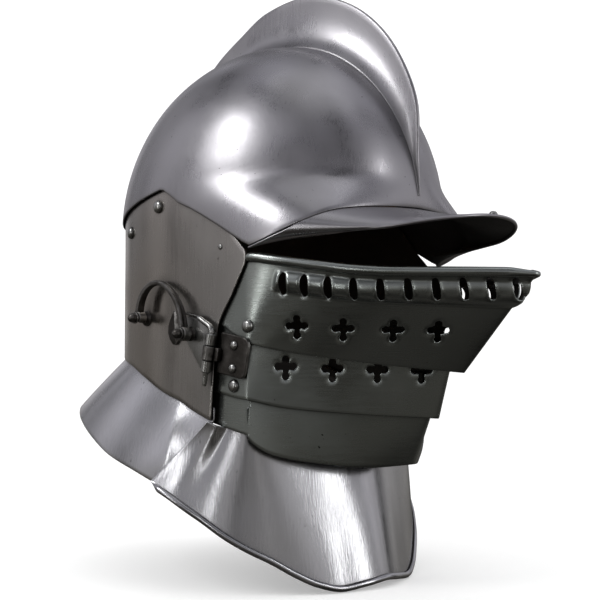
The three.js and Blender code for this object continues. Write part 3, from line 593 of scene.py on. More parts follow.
def midline(degrees):
    phi = np.where(degrees < 90, 0.0, math.pi)
    reach = np.where(degrees < 90, SKULL_B, SKULL_BACK)
    tangent = np.abs(np.tan(np.radians(degrees)))
    alpha = np.arctan((tangent * reach / DOME_H) ** (dome_power(phi) / 2))
    return dome_point(phi, alpha)


PEAK_HALF, PEAK_START, PEAK_REACH = 78.0, 60.0, 105.5
PEAK_EDGE_Z, PEAK_RISE, PEAK_SIDE, PEAK_TUCK = 31.3, 13.5, 77.4, 1.4


def peak_surface(u, v):
    phi = np.radians(PEAK_SIDE * u)
    root_z = rim_z(np.abs(PEAK_SIDE * u))
    root_x, root_f = hull(phi, root_z, 0.0)
    root_z = root_z - PEAK_TUCK * smooth((np.abs(u) - 0.6) / 0.2)
    turn = math.pi / 2 * u
    edge_z = PEAK_EDGE_Z + PEAK_RISE * np.cos(turn) ** 2
    bow = 5 * np.sin(math.pi * np.clip(v, 0, 1)) * np.cos(turn)
    return at(
        lerp(root_x, PEAK_HALF * np.sin(turn), v),
        lerp(root_f, PEAK_START + PEAK_REACH * np.cos(turn), v),
        lerp(root_z - 1, edge_z, v) - bow * 0.4,
    )


SIDE = 90.0
BACK = 180.0
FRONT_EDGE = through([(-78, 16), (-45, 18.8), (-23, 21.5), (0, 35), (21, 47), (60, 66)])
NAPE_LOW = through([
    (66, -78), (78, -73.5), (90, -68), (100, -62), (112, -52), (125, -43.5), (148, -38),
    (180, -37)])
NAPE_TOP = through([
    (34, 17), (37, 23.5), (42, 27.5), (52, 35), (62, 44), (75, 56), (90, 66), (98, 76.5),
    (122, 68), (148, 60), (180, 58)])


def wrap(bearing, z, inset):
    """A place round the head: degrees from the front behind its middle, millimetres ahead."""
    ahead = CENTRE_F + SIDE - bearing
    front_x = hull_width(ahead, z, inset) * shrink_at(math.pi / 2, z, inset)
    phi = np.radians(np.maximum(bearing, SIDE))
    x, f = hull(phi, z, inset)
    shrink = shrink_at(phi, z, inset)
    front = bearing < SIDE
    return (
        np.where(front, front_x, x * shrink),
        np.where(front, ahead, CENTRE_F + (f - CENTRE_F) * shrink),
    )


def nape_surface(u, v):
    t = 1 - np.abs(u)
    z = lerp(NAPE_TOP(lerp(34, BACK, t)), NAPE_LOW(lerp(66, BACK, t)), v)
    bearing = lerp(SIDE - (FRONT_EDGE(z) - CENTRE_F), BACK, t)
    x, f = wrap(bearing, z, NAPE_IN)
    return at(np.where(u < 0, -x, x), f, z)


SEAM_TOP, SEAM_FOOT, TUCK = 61.0, 88.0, 0.16
COLLAR_FLARE = through([(88, 14), (100, 19), (120, 27), (150, 36), (180, 38)])
COLLAR_EDGE = through([
    (88, -122), (100, -111), (112, -101.5), (120, -93.5), (134, -81.5), (150, -73),
    (180, -70)])


def collar_surface(u, v):
    t = 1 - np.abs(u)
    waist = NAPE_LOW(lerp(66, BACK, t))
    at_edge = lerp(SEAM_FOOT, BACK, t)
    down = np.clip((v - TUCK) / (1 - TUCK), 0, 1)
    z = np.where(
        v < TUCK, lerp(waist + 7, waist, v / TUCK), lerp(waist, COLLAR_EDGE(at_edge), down))
    bearing = lerp(lerp(SEAM_TOP, SEAM_FOOT, down), BACK, t)
    x, f = wrap(bearing, z, COLLAR_IN)
    flare = COLLAR_FLARE(at_edge) * down
    away = np.radians(np.maximum(SIDE, bearing))
    side = np.where(u < 0, -1.0, 1.0)
    return at(side * (x + flare * np.sin(away)), f + flare * np.cos(away), z)


# ---- Face plates ----
KEEL_ROUND = 0.006


def prow(u, width, cheek, keel):
    """Plan curve of a face plate; its keel, at u = 0, is a little rounded."""
    t = np.abs(u)
    s = t / STRAIGHT_T
    soft = np.sqrt(s * s + KEEL_ROUND**2)
    bent_x = width * (2 * s - s * s)
    bent_f = (1 - soft) ** 2 * keel + 2 * soft * (1 - soft) * cheek + soft * soft * BEND_F
    straight_f = lerp(BEND_F, REAR_F, (t - STRAIGHT_T) / (1 - STRAIGHT_T))
    behind = t > STRAIGHT_T
    return np.where(behind, width, bent_x) * np.sign(u), np.where(behind, straight_f, bent_f)


def prow_surface(top, low):
    (top_width, top_cheek, top_keel, top_z) = top
    (low_width, low_cheek, low_keel, low_z) = low

    def surface(u, v):
        x0, f0 = prow(u, top_width, top_cheek, top_keel)
        x1, f1 = prow(u, low_width, low_cheek, low_keel)
        t = np.abs(u)
        return at(lerp(x0, x1, v), lerp(f0, f1, v), lerp(top_z(t), low_z(t), v))

    return surface


upper_surface = prow_surface(
    (LAME_W, 96, 193, through([
        (0, 12.3), (0.3, 12.3), (0.4, 13.3), (0.5, 15.6), (0.6, 18), (0.7, 20.4), (0.8, 22.2),
        (0.84, 21.8), (0.9, 17.5), (1, 10)])),
    (LAME_W, 58, 139, through([
        (0, -49), (0.13, -45.5), (0.45, -37.5), (0.7, -32), (0.8, -30.5), (0.86, -27),
        (0.93, -20), (1, -12)])),
)
lower_surface = prow_surface(
    (LAME_W - LAME_STEP, 49, 131, through([
        (0, -38), (0.4, -32), (0.66, -26), (0.78, -12.5), (0.9, -11), (1, -20)])),
    (LAME_W - LAME_STEP, 45, 120, through([
        (0, -77), (0.45, -70), (0.7, -65.5), (0.86, -64.5), (0.93, -62), (1, -58.5)])),
)
chin_surface = prow_surface(
    (LAME_W - 2 * LAME_STEP, 41, 119, through([(0, -64), (0.45, -57), (0.8, -50), (1, -50)])),
    (LAME_W - 2 * LAME_STEP, 44, 101, through([
        (0, -106), (0.12, -107.5), (0.28, -104.5), (0.5, -99), (0.7, -91.5), (0.84, -86.5),
        (1, -79)])),
)


GORGET_TOP = (
    through([(0, 0), (0.35, 50), (0.65, 79), (0.78, 86), (0.84, 88.4), (0.9, 93.6), (1, 97.2)]),
    even([(0, 60), (0.35, 48), (0.65, 35), (0.78, 27), (0.84, 23), (0.9, 20), (1, 15)]),
    even([
        (0, -92), (0.35, -90), (0.65, -85), (0.78, -82), (0.84, -83), (0.9, -82), (1, -79.5)]),
)
GORGET_LOW = (
    through([(0, 0), (0.2, 33), (0.42, 62), (0.72, 97.5), (0.88, 110.2), (1, 114)]),
    even([(0, 79), (0.2, 70), (0.42, 54), (0.72, 24), (0.88, 0), (1, -20)]),
    even([
        (0, -181), (0.1, -183), (0.2, -185), (0.3, -181.5), (0.4, -174.5), (0.5, -165.5),
        (0.6, -157.5), (0.7, -148), (0.8, -136.5), (0.9, -126), (1, -118)]),
)


def gorget_surface(u, v):
    t = np.abs(u)
    (top_x, top_f, top_z), (low_x, low_f, low_z) = GORGET_TOP, GORGET_LOW
    return at(
        np.sign(u) * lerp(top_x(t), low_x(t), power(v, 1.1)),
        lerp(top_f(t), low_f(t), v),
        lerp(top_z(t), low_z(t), v),
    )


def wall_point(f, z, inset):
    ahead = f > CENTRE_F
    behind = np.clip((f - CENTRE_F) / (SKULL_BACK - inset), -1, 1)
    return at(
        np.where(ahead, hull_width(f, z, inset), (SKULL_A - inset) * np.sqrt(1 - behind**2)),
        f, z)


def wall_normal(f, z, inset):
    along = wall_point(f + 0.1, z, inset) - wall_point(f - 0.1, z, inset)
    normal = unit(np.array([-along[1], along[0], 0.0]))
    return normal if normal[0] > 0 else -normal


# ---- Materials ----
class Nodes:
    """A node tree, with short ways to add what the finishes and the surroundings share."""

    def __init__(self, tree, space):
        self.tree = tree
        self.coords = self.add("ShaderNodeTexCoord").outputs[space]

    def add(self, kind, inputs=None, **settings):
        node = self.tree.nodes.new(kind)
        for key, value in settings.items():
            setattr(node, key, value)
        for key, value in (inputs or {}).items():
            self.put(value, node.inputs[key])
        return node

    def put(self, value, socket):
        if isinstance(value, bpy.types.NodeSocket):
            self.tree.links.new(value, socket)
        else:
            socket.default_value = value

    def noise(self, scale, detail=3.0, stretch=(1, 1, 1)):
        mapping = self.add("ShaderNodeMapping", {"Vector": self.coords, "Scale": stretch})
        return self.add("ShaderNodeTexNoise", {
            "Vector": mapping.outputs["Vector"], "Scale": scale, "Detail": detail,
            }).outputs["Fac"]

    def ramp(self, value, low, high, to_low=0.0, to_high=1.0):
        return self.add("ShaderNodeMapRange", {
            "Value": value, "From Min": low, "From Max": high, "To Min": to_low,
            "To Max": to_high}).outputs["Result"]

    def math(self, operation, a, b=0.0):
        return self.add("ShaderNodeMath", {0: a, 1: b}, operation=operation).outputs[0]

    def vector_math(self, operation, a, b, output=0):
        return self.add(
            "ShaderNodeVectorMath", {0: a, 1: b}, operation=operation).outputs[output]

    def mix(self, factor, a, b):
        """Colours are sockets or (red, green, blue)."""
        a, b = ((*c, 1) if isinstance(c, tuple) else c for c in (a, b))
        return self.add("ShaderNodeMix", {0: factor, 6: a, 7: b}, data_type="RGBA").outputs[2]

    def cloudy(self, scale, detail, low, high, a, b):
        """Two tones mixed in soft clouds."""
        return self.mix(self.ramp(self.noise(scale, detail), low, high), a, b)

    def bump(self, height, distance, strength=1.0, after=None):
        inputs = {"Height": height, "Distance": distance, "Strength": strength}
        if after is not None:
            inputs["Normal"] = after
        return self.add("ShaderNodeBump", inputs).outputs["Normal"]

    def crevice(self, distance, low=0.35, high=0.95):
        """1 in the open, 0 deep in a corner or seam."""
        node = self.add("ShaderNodeAmbientOcclusion", {"Distance": distance}, samples=6)
        return self.ramp(node.outputs["AO"], low, high)

    def inner_side(self):
        """1 on the faces that look towards the helmet's upright axis, 0 on the outer ones."""
        place = self.vector_math("SUBTRACT", self.coords, (0, 0.02, 0))
        level = self.vector_math("MULTIPLY", place, (1, 1, 0))
        facing = self.add("ShaderNodeTexCoord").outputs["Normal"]
        away = self.vector_math("DOT_PRODUCT", level, facing, "Value")
        return self.ramp(away, -0.006, 0.001, 1, 0)


class Shader(Nodes):
    def __init__(self, name):
        self.material = bpy.data.materials.new(name)
        self.material.use_nodes = True
        self.surface = self.material.node_tree.nodes["Principled BSDF"]
        super().__init__(self.material.node_tree, "Object")

    def set(self, **inputs):
        for key, value in inputs.items():
            self.put(value, self.surface.inputs[key.replace("_", " ")])


def steel(name, light, dark, rough, seam_shade_strength=0.8, lines=(1, 1, 0.05), line_depth=0.5, warm_reflection=None):
    """Buffed steel: cloudy tone, fine polishing lines and pits, with painted shade darkening the
    corners, seams and inner faces, which are also made rougher; a given tint is a painted warm
    reflection.
    """
    s = Shader(name)
    tone = s.cloudy(9, 4, 0.3, 0.7, dark, light)
    # Painted reflection: a warm tint is washed over the tone in soft clouds.
    if warm_reflection is not None:
        tone = s.mix(s.ramp(s.noise(5.5, 2), 0.45, 0.75, 0, 0.6), tone, warm_reflection)
    pits = s.ramp(s.noise(420, 2), 0.70, 0.76)
    spots = s.math("MULTIPLY", pits, s.ramp(s.noise(28, 3), 0.52, 0.68))
    tone = s.mix(spots, tone, (0.03, 0.028, 0.025))
    # Painted shade: ambient occlusion darkens the corners and seams; the same mask also makes them
    # rougher.
    seam_shade_and_soiling = s.math("MULTIPLY", s.math("SUBTRACT", 1.0, s.crevice(0.007)), seam_shade_strength)
    tone = s.mix(seam_shade_and_soiling, tone, (0.028, 0.026, 0.022))
    # Painted shade: faces turned towards the helmet's axis are darkened, and made rougher, because
    # the inside lies in shade.
    inside = s.inner_side()
    tone = s.mix(s.math("MULTIPLY", inside, 0.8), tone, (0.05, 0.045, 0.04))
    fine = s.noise(900, 2, lines)
    smear = s.noise(30, 4)
    roughness = s.math("ADD", s.ramp(smear, 0.3, 0.75, rough * 0.8, rough * 1.35),
                       s.ramp(fine, 0.3, 0.7, -0.03, 0.03))
    roughness = s.math("ADD", roughness, s.math("MULTIPLY", seam_shade_and_soiling, 0.3))
    roughness = s.math("ADD", roughness, s.math("MULTIPLY", inside, 0.25))
    dents = s.bump(s.noise(14, 1), 0.0022, 0.22)
    brushed = s.bump(fine, 0.00005, line_depth, dents)
    s.set(Base_Color=tone, Roughness=roughness, Metallic=1.0, Normal=brushed)
    return s.material


def black_iron(name):
    """Blackened iron with bare metal rubbed through on its edges."""
    s = Shader(name)
    tone = s.cloudy(60, 4, 0.35, 0.7, (0.06, 0.055, 0.05), (0.16, 0.15, 0.14))
    wear = s.add("ShaderNodeNewGeometry").outputs["Pointiness"]
    rubbed = s.math("MULTIPLY", s.ramp(wear, 0.52, 0.6), s.ramp(s.noise(140, 3), 0.35, 0.6))
    tone = s.mix(rubbed, tone, (0.5, 0.49, 0.47))
    # Painted shade: darker in the corners and seams.
    tone = s.mix(s.math("SUBTRACT", 1.0, s.crevice(0.004)), tone, (0.012, 0.011, 0.01))
    grit = s.noise(700, 3)
    s.set(
        Base_Color=tone, Metallic=1.0, Roughness=s.ramp(s.noise(90, 4), 0.3, 0.7, 0.32, 0.5),
        Normal=s.bump(grit, 0.0003, 0.5, s.bump(s.noise(120, 2), 0.0008, 0.4)))
    return s.material


def leather(name):
    s = Shader(name)
    grain = s.add("ShaderNodeTexVoronoi", {"Vector": s.coords, "Scale": 520.0}).outputs["Distance"]
    tone = s.cloudy(30, 4, 0.3, 0.7, (0.11, 0.052, 0.024), (0.24, 0.125, 0.06))
    tone = s.mix(s.ramp(grain, 0.0, 0.35, 0.35, 0.0), tone, (0.05, 0.025, 0.012))
    s.set(
        Base_Color=tone, Roughness=s.ramp(s.noise(70, 3), 0.3, 0.7, 0.55, 0.78),
        Normal=s.bump(grain, 0.0004, 0.6, s.bump(s.noise(45, 3), 0.0015, 0.3)))
    return s.material


def canvas(name):
    s = Shader(name)
    across, down = (
        s.add("ShaderNodeTexWave", {"Vector": s.coords, "Scale": 340.0, "Distortion": 0.4},
              bands_direction=way).outputs["Fac"] for way in "XY")
    weave = s.math("MAXIMUM", across, down)
    tone = s.cloudy(24, 4, 0.3, 0.7, (0.42, 0.34, 0.22), (0.6, 0.51, 0.37))
    tone = s.mix(s.ramp(weave, 0.2, 0.9, 0.45, 0.0), tone, (0.2, 0.15, 0.09))
    s.set(Base_Color=tone, Roughness=0.9, Sheen_Weight=0.3, Normal=s.bump(weave, 0.0005, 0.7))
    return s.material


def thread(name):
    s = Shader(name)
    tone = s.cloudy(800, 2, 0.3, 0.7, (0.5, 0.42, 0.28), (0.68, 0.6, 0.44))
    s.set(Base_Color=tone, Roughness=0.8, Normal=s.bump(s.noise(1600, 2), 0.0002, 0.6))
    return s.material


SKULL_STEEL = steel("skull_steel", (0.50, 0.49, 0.51), (0.40, 0.39, 0.41), 0.3)
# The nape steel's warm tint is a painted reflection of the warm room.
NAPE_STEEL = steel("nape_steel", (0.52, 0.51, 0.50), (0.40, 0.39, 0.38), 0.26,
                   warm_reflection=(0.5, 0.44, 0.38))
LAME_STEEL = steel("lame_steel", (0.46, 0.49, 0.47), (0.34, 0.37, 0.35), 0.26,
                   lines=(0.06, 0.06, 1), line_depth=0.15)
BRIGHT_STEEL = steel("bright_steel", (0.66, 0.66, 0.68), (0.54, 0.54, 0.56), 0.2, seam_shade_strength=0.6,
                     lines=(1, 1, 0.03), line_depth=0.8)
RIVET_STEEL = steel("rivet_steel", (0.52, 0.52, 0.5), (0.4, 0.4, 0.39), 0.25, line_depth=0.2)
IRON = black_iron("black_iron")
LEAF_IRON = black_iron("leaf_iron")
LEATHER = leather("liner_leather")
CANVAS = canvas("liner_canvas")
THREAD = thread("liner_thread")


# ---- Plates ----
def wavy(points, size, height):
    """A slow unevenness of hand-worked sheet, the same on every run."""
    p = points / size
    x, y, z = p[..., 0], p[..., 1], p[..., 2]
    return height / 3 * (
        np.sin(1.7 * x + 2.3 * y + 0.6 * z + 0.4) + np.sin(-1.1 * x + 0.8 * y + 2.1 * z + 1.9)
        + np.sin(2.6 * x - 1.3 * y + 1.4 * z + 3.1))


def uneven(surface, size, height):
    """A relief for plate: its sheet is not quite even."""
    return lambda u, v: wavy(surface(u, v), size, height)


def make_skull():
    us = np.linspace(-180, 180, 200, endpoint=False)
    piece = plate(
        "skull_shell", skull_surface, us, spaced((0, 0.06, 6), (0.06, 1, 54)),
        relief=uneven(skull_surface, 30, 0.18), ring=True, pole=True, grain=(1.8, 180))
    place(piece, "helmet", ["skull"], "polished_steel", SKULL_STEEL)


def make_comb():
    stations = np.concatenate([np.linspace(7, 30, 26), np.linspace(31, 170, 110)])
    base = midline(stations)
    along = midline(stations + 0.4) - midline(stations - 0.4)
    out = unit(np.stack([0 * along[:, 0], -along[:, 2], along[:, 1]], -1))
    centre = at(0, CENTRE_F, DOME_Z)
    out *= np.sign(np.sum(out * (base - centre), -1))[:, None]
    loops = []
    for point, way, height in zip(base, out, COMB_HEIGHT(stations)):
        top = max(0.5, min(1.4, height * 0.4))
        foot = max(top + 0.4, min(9.0, 0.5 + 0.28 * height))
        levels = [-1.2, *(lerp(0, height - top, np.linspace(0, 1, 15) ** 1.4))]
        rounding = np.radians([30, 55, 75, 90])
        half = []
        for h in levels:
            flare = (foot - top) * (1 - np.clip(h / (height - top), 0, 1)) ** 3.6
            half.append((top + flare, h))
        half += [(top * math.cos(a), height - top + top * math.sin(a)) for a in rounding]
        right = [point + way * h + np.array([w, 0, 0]) for w, h in half]
        left = [point + way * h - np.array([w, 0, 0]) for w, h in half[-2::-1]]
        loops.append(np.array(right + left))
    piece = loft("comb_blade", loops, sharp=60)
    place(piece, "helmet", ["comb"], "polished_steel", SKULL_STEEL)


def make_peak():
    def roll(u, v):
        at_edge = smooth((v - 0.97) / 0.01) * smooth((1 - np.abs(u)) / 0.12)
        return lerp(SHEET / 2, 1.7, at_edge), np.full(u.shape, -0.75)

    us = np.sin(np.linspace(-0.5, 0.5, 150) * math.pi * 0.99) / math.sin(0.495 * math.pi)
    piece = plate(
        "peak_plate", peak_surface, us, spaced((0.0, 0.9, 26), (0.9, 0.975, 5)), away=None,
        roll=roll, relief=uneven(peak_surface, 22, 0.12), grain=(90, 60))
    place(piece, "helmet", ["peak"], "polished_steel", SKULL_STEEL)


def make_nape():
    piece = plate(
        "nape_shell", nape_surface, np.linspace(-1, 1, 240), np.linspace(0, 1, 44),
        relief=uneven(nape_surface, 26, 0.2), grain=(330, 110))
    place(piece, "helmet", ["nape_plate"], "polished_steel", NAPE_STEEL)


def make_rear_gorget():
    piece = plate(
        "rear_gorget_shell", collar_surface, np.linspace(-1, 1, 200), np.linspace(0, 1, 34),
        relief=uneven(collar_surface, 24, 0.15), grain=(340, 50))
    place(piece, "helmet", ["rear_gorget"], "polished_steel", BRIGHT_STEEL)


ROLL_R = 3.1
BAND = {"start": 0.14, "end": 0.375, "height": 3.4, "rear": 0.67}


HOLE_REACH = 20.0
LOBE_R = 2.8
ARM_R = 2.1
SLOT_HALF_WIDTH = 3.0
SLOT_HALF_LENGTH = 7.2


class Hole:
    """A hole punched through a plate: shape(a, b) is positive outside it, in mm."""

    def __init__(self, surface, u, v, shape):
        u, v = np.array([u]), np.array([v])
        self.centre = surface(u, v)[0]
        normal = outward(surface, u, v, from_core)[0]
        self.up = unit(np.array([0.0, 0.0, 1.0]) - normal * normal[2])
        self.along = np.cross(self.up, normal) * math.copysign(1, u[0])
        self.shape = shape

    def clear(self, points):
        gap = points - self.centre
        a, b = gap @ self.along, gap @ self.up
        near = np.linalg.norm(gap, axis=-1) < HOLE_REACH
        return np.where(near, self.shape(a, b), HOLE_REACH)


def capsule(a, b, end_a, end_b, radius):
    t = np.clip((a * end_a + b * end_b) / (end_a**2 + end_b**2), 0, 1)
    return np.hypot(a - end_a * t, b - end_b * t) - radius


def cross_shape(a, b):
    """Four round lobes on a cross; the lowest reaches a little further down."""
    gap = np.hypot(a, b) - LOBE_R
    for end_a, end_b in ((4.6, 0), (-4.6, 0), (0, 4.3), (0, -6.0)):
        gap = np.minimum(gap, capsule(a, b, end_a, end_b, ARM_R))
        gap = np.minimum(gap, np.hypot(a - end_a, b - end_b) - LOBE_R)
    return gap


def slot_shape(slant):
    def shape(a, b):
        lean = a - slant * b / 6
        lens = (np.abs(lean) / SLOT_HALF_WIDTH) ** 2 + (np.abs(b) / SLOT_HALF_LENGTH) ** 3
        return (lens - 1) * SLOT_HALF_WIDTH

    return shape


def both_holes(surface, u, v, shape):
    return [Hole(surface, u, v, shape), Hole(surface, -u, v, shape)]


def holed(surface, holes):
    """How far a place on the plate lies from its nearest hole."""
    def field(u, v):
        points = surface(u, v)
        return np.min([hole.clear(points) for hole in holes], axis=0)

    return field


def dish(field, u, v):
    """How far the sheet is drawn in at the edge of a punched hole."""
    return 0.3 * smooth(1 - field(u, v) / 1.2)


SLOT_DOWN = 15.6


def side_height(u):
    """Length of the upper lame's panel from its top edge down to its low edge."""
    top = upper_surface(np.array(u), np.array(0.0))
    return np.linalg.norm(upper_surface(np.array(u), np.array(1.0)) - top)


def make_upper_lame():
    holes = []
    for i in range(10):
        t = i / 9
        u = 0.02 + 0.43 * t + 0.17 * t * t
        holes += both_holes(
            upper_surface, u, SLOT_DOWN / side_height(u), slot_shape(lerp(1.5, -0.3, t)))
    for u in (0.117, 0.22, 0.354, 0.512):
        holes += both_holes(upper_surface, u, 0.6 + 0.22 * u, cross_shape)
    field = holed(upper_surface, holes)

    def relief(u, v):
        fade = smooth((BAND["rear"] - np.abs(u)) / 0.03)
        across = np.clip((v - BAND["start"]) / (BAND["end"] - BAND["start"]), 0, 1)
        band = BAND["height"] * np.sin(math.pi * across) ** 0.8 * fade
        return band - dish(field, u, v) + wavy(upper_surface(u, v), 24, 0.15)

    def roll(u, v):
        at_top = smooth((0.09 - v) / 0.005) * smooth((0.86 - np.abs(u)) / 0.06)
        tip = 1 - 0.45 * smooth(1 - np.abs(u) / 0.06)
        return lerp(SHEET / 2, ROLL_R, at_top * tip), np.full(u.shape, 0.5)

    us = both_sides(spaced((0, 0.03, 9), (0.03, 0.7, 130), (0.7, 1, 30)))
    vs = spaced((0.08, 0.34, 18), (0.34, 1, 36))
    piece = plate(
        "upper_lame_plate", upper_surface, us, vs, relief=relief, field=field, roll=roll,
        grain=(240, 62))
    place(piece, "upper_plate", ["upper_lame"], "dark_steel", LAME_STEEL)


def make_lower_lame():
    holes = []
    for u in (0.064, 0.173, 0.304, 0.485):
        holes += both_holes(lower_surface, u, 0.255 + 0.25 * u, cross_shape)
    field = holed(lower_surface, holes)

    def relief(u, v):
        return wavy(lower_surface(u, v), 24, 0.15) - dish(field, u, v)

    us = both_sides(spaced((0, 0.03, 9), (0.03, 0.6, 100), (0.6, 1, 30)))
    piece = plate(
        "lower_lame_plate", lower_surface, us, np.linspace(0, 1, 30), relief=relief, field=field,
        grain=(210, 42))
    place(piece, "buffe", ["lower_lame"], "dark_steel", LAME_STEEL)


def make_chin():
    us = both_sides(spaced((0, 0.04, 9), (0.04, 1, 80)))
    piece = plate(
        "chin_shell", chin_surface, us, np.linspace(0, 1, 24),
        relief=uneven(chin_surface, 22, 0.2), grain=(200, 42))
    place(piece, "buffe", ["chin_plate"], "dark_steel", LAME_STEEL)


def make_front_gorget():
    def roll(u, v):
        at_rim = smooth((v - 0.94) / 0.01) * smooth((1 - np.abs(u)) / 0.05)
        return lerp(SHEET / 2, 2.1, at_rim), np.full(u.shape, 0.5)

    us = both_sides(spaced((0, 0.05, 6), (0.05, 1, 90)))
    piece = plate(
        "front_gorget_shell", gorget_surface, us, np.linspace(0, 0.955, 40), roll=roll,
        relief=uneven(gorget_surface, 20, 0.2), grain=(220, 95))
    place(piece, "buffe", ["front_gorget"], "bright_steel", BRIGHT_STEEL)


for make in (make_skull, make_comb, make_peak, make_nape, make_rear_gorget, make_upper_lame,
             make_lower_lame, make_chin, make_front_gorget):
    make()


# ---- Rivets and studs ----
def domed(r, h, under=1.0):
    arc = np.radians(np.linspace(0, 90, 9))
    dome = [(r * math.cos(a) ** 0.85, h * (0.12 + 0.88 * math.sin(a))) for a in arc[:-1]]
    return [(0, -under), (r * 0.96, -under), (r, -0.1), *dome, (0, h)]


def make_rivets():
    on_wall = (
        ("nape_rivet_front", (-34, 58), 4.1, 2.6), ("nape_rivet_back", (-75, 45), 4.1, 2.6),
        ("cheek_rivet", (25, 28), 1.7, 0.8),
    )
    for name, (f, z), r, h in on_wall:
        normal = wall_normal(f, z, NAPE_IN)
        base = wall_point(f, z, NAPE_IN) + normal * (0.05 + r * r / 190)
        piece = lathe(f"{name}_head", domed(r, h), base, normal)
        slot = "dark_steel" if name == "cheek_rivet" else "polished_steel"
        place_pair(piece, "helmet", name, slot, RIVET_STEEL)
    leaf_x = LEAF_X + LEAF_THICK
    flat = (
        ("leaf_rivet_top", "buffe", (37, -32.5), leaf_x, 2.9, 2.1),
        ("leaf_rivet_low", "buffe", (35.5, -46.4), leaf_x, 2.9, 2.1),
        ("lower_rivet", "buffe", LOWER_RIVET, LAME_W - LAME_STEP, 4.0, 2.7),
        ("pivot_rivet", "upper_plate", PIVOT, LAME_W, 4.0, 2.7),
    )
    for name, body, (f, z), x, r, h in flat:
        piece = lathe(f"{name}_head", domed(r, h), at(x, f, z), LEFT)
        place_pair(piece, body, name, "polished_steel", RIVET_STEEL)
    tip = peak_surface(np.array(0.0), np.array(0.9)) + [0, 0, 0.1]
    piece = lathe("peak_rivet_head", domed(2.6, 2.6), tip, (0, -0.12, 1))
    place(piece, "helmet", ["peak_rivet"], "polished_steel", RIVET_STEEL)


STUD_LENGTH = 14.0
STUD_STEM = 2.4
BALL_R = 3.1


def make_studs():
    ball = STUD_LENGTH - 2.9
    profile = [(0, -2.2), (5.0, -2.2), (5.2, -1.9), (5.1, -0.9), (4.3, 0.1), (3.1, 1.1),
               (STUD_STEM, 2.2), (STUD_STEM, 8.3), (3.4, 8.4), (3.7, 8.7), (3.7, 9.5),
               (3.4, 9.8), (2.2, 9.9)]
    profile += [(BALL_R * math.cos(a), ball + BALL_R * math.sin(a))
                for a in np.radians(np.linspace(-28, 84, 10))]
    profile.append((0, ball + BALL_R))
    for name, (f, z) in (("front_stud", FRONT_STUD), ("rear_stud", REAR_STUD)):
        foot = wall_point(f, z, NAPE_IN) + [1.7, 0, 0]
        piece = lathe(f"{name}_turned", profile, foot, LEFT, sides=32, sharp=35)
        place_pair(piece, "helmet", name, "black_iron", IRON)


# ---- Flat pieces with bevelled faces ----
def drawn_in(outline, distance):
    """An anticlockwise outline moved inwards."""
    points = np.asarray(outline, float)
    before = unit(points - np.roll(points, 1, 0))
    after = unit(np.roll(points, -1, 0) - points)
    in_a = np.stack([-before[:, 1], before[:, 0]], -1)
    in_b = np.stack([-after[:, 1], after[:, 0]], -1)
    share = 1 + np.sum(in_a * in_b, -1, keepdims=True)
    return points + distance * (in_a + in_b) / share


def slab(name, outline, low, high, bevel, place_points):
    """A flat plate from a (y, z) outline between two x levels, its outer edge rounded."""
    loops = []
    for x, inset in ((low, 0), (high - bevel, 0), (high - 0.62 * bevel, 0.08 * bevel),
                     (high - 0.3 * bevel, 0.3 * bevel), (high - 0.08 * bevel, 0.62 * bevel),
                     (high, bevel)):
        ring = drawn_in(outline, inset)
        loops.append(place_points(np.column_stack([np.full(len(ring), x), ring])))
    return loft(name, loops, sharp=35)


def rounded_corners(corners, radii, steps=6):
    """An outline whose corners are rounded."""
    outline = []
    count = len(corners)
    for k, (corner, radius) in enumerate(zip(corners, radii)):
        here = np.array(corner, float)
        back = unit(np.array(corners[k - 1]) - here)
        ahead = unit(np.array(corners[(k + 1) % count]) - here)
        half = math.acos(np.clip(back @ ahead, -1, 1)) / 2
        start, end = (here + way * radius / math.tan(half) for way in (back, ahead))
        for t in np.linspace(0, 1, steps):
            curve = (1 - t) ** 2 * start + 2 * t * (1 - t) * here + t * t * end
            outline.append(tuple(curve))
    return outline


def turned_ring(name, profile, base, axis, sides=32, sharp=35):
    """A turned piece with a hole: profile is a closed outline of (radius, height)."""
    axis, side, other = side_axes(axis, 0.2)
    loops = []
    for turn in full_turn(sides):
        way = math.cos(turn) * side + math.sin(turn) * other
        loops.append(np.array([base + way * r + axis * h for r, h in profile]))
    return loft(name, loops, sharp=sharp, closed=True)


def united(name, first, *others):
    """One solid from overlapping ones."""
    for other in others:
        modifier = first.modifiers.new("join", "BOOLEAN")
        modifier.operation = "UNION"
        modifier.solver = "EXACT"
        modifier.object = other
    whole = first.evaluated_get(bpy.context.evaluated_depsgraph_get())
    mesh = bpy.data.meshes.new_from_object(whole)
    first.modifiers.clear()
    first.data = mesh
    shade(mesh, 35)
    for other in others:
        bpy.data.objects.remove(other)
    first.name = mesh.name = name
    return first


# ---- Hinges: x out of the helmet, y back, z along the pin ----
HINGE_AXES = np.array([
    LEFT, unit(np.array([0, 1, HINGE_LEAN])), unit(np.array([0, -HINGE_LEAN, 1]))])
PIN_R = 1.9
LEAF_THICK = 1.9
LEAF_X = LAME_W + 0.35
LEAF_INNER = LEAF_X - HINGE[0]
MIDDLE_HALF = 4.4
KNUCKLE_TOP = 12.0


def on_hinge(points):
    return at(*HINGE) + np.asarray(points, float) @ HINGE_AXES


def knuckle(name, radius, low, high):
    bore, chamfer = PIN_R + 0.25, 0.55
    profile = [(bore, low), (radius - chamfer, low), (radius, low + chamfer),
               (radius, high - chamfer), (radius - chamfer, high), (bore, high)]
    return turned_ring(name, profile, at(*HINGE), HINGE_AXES[2])


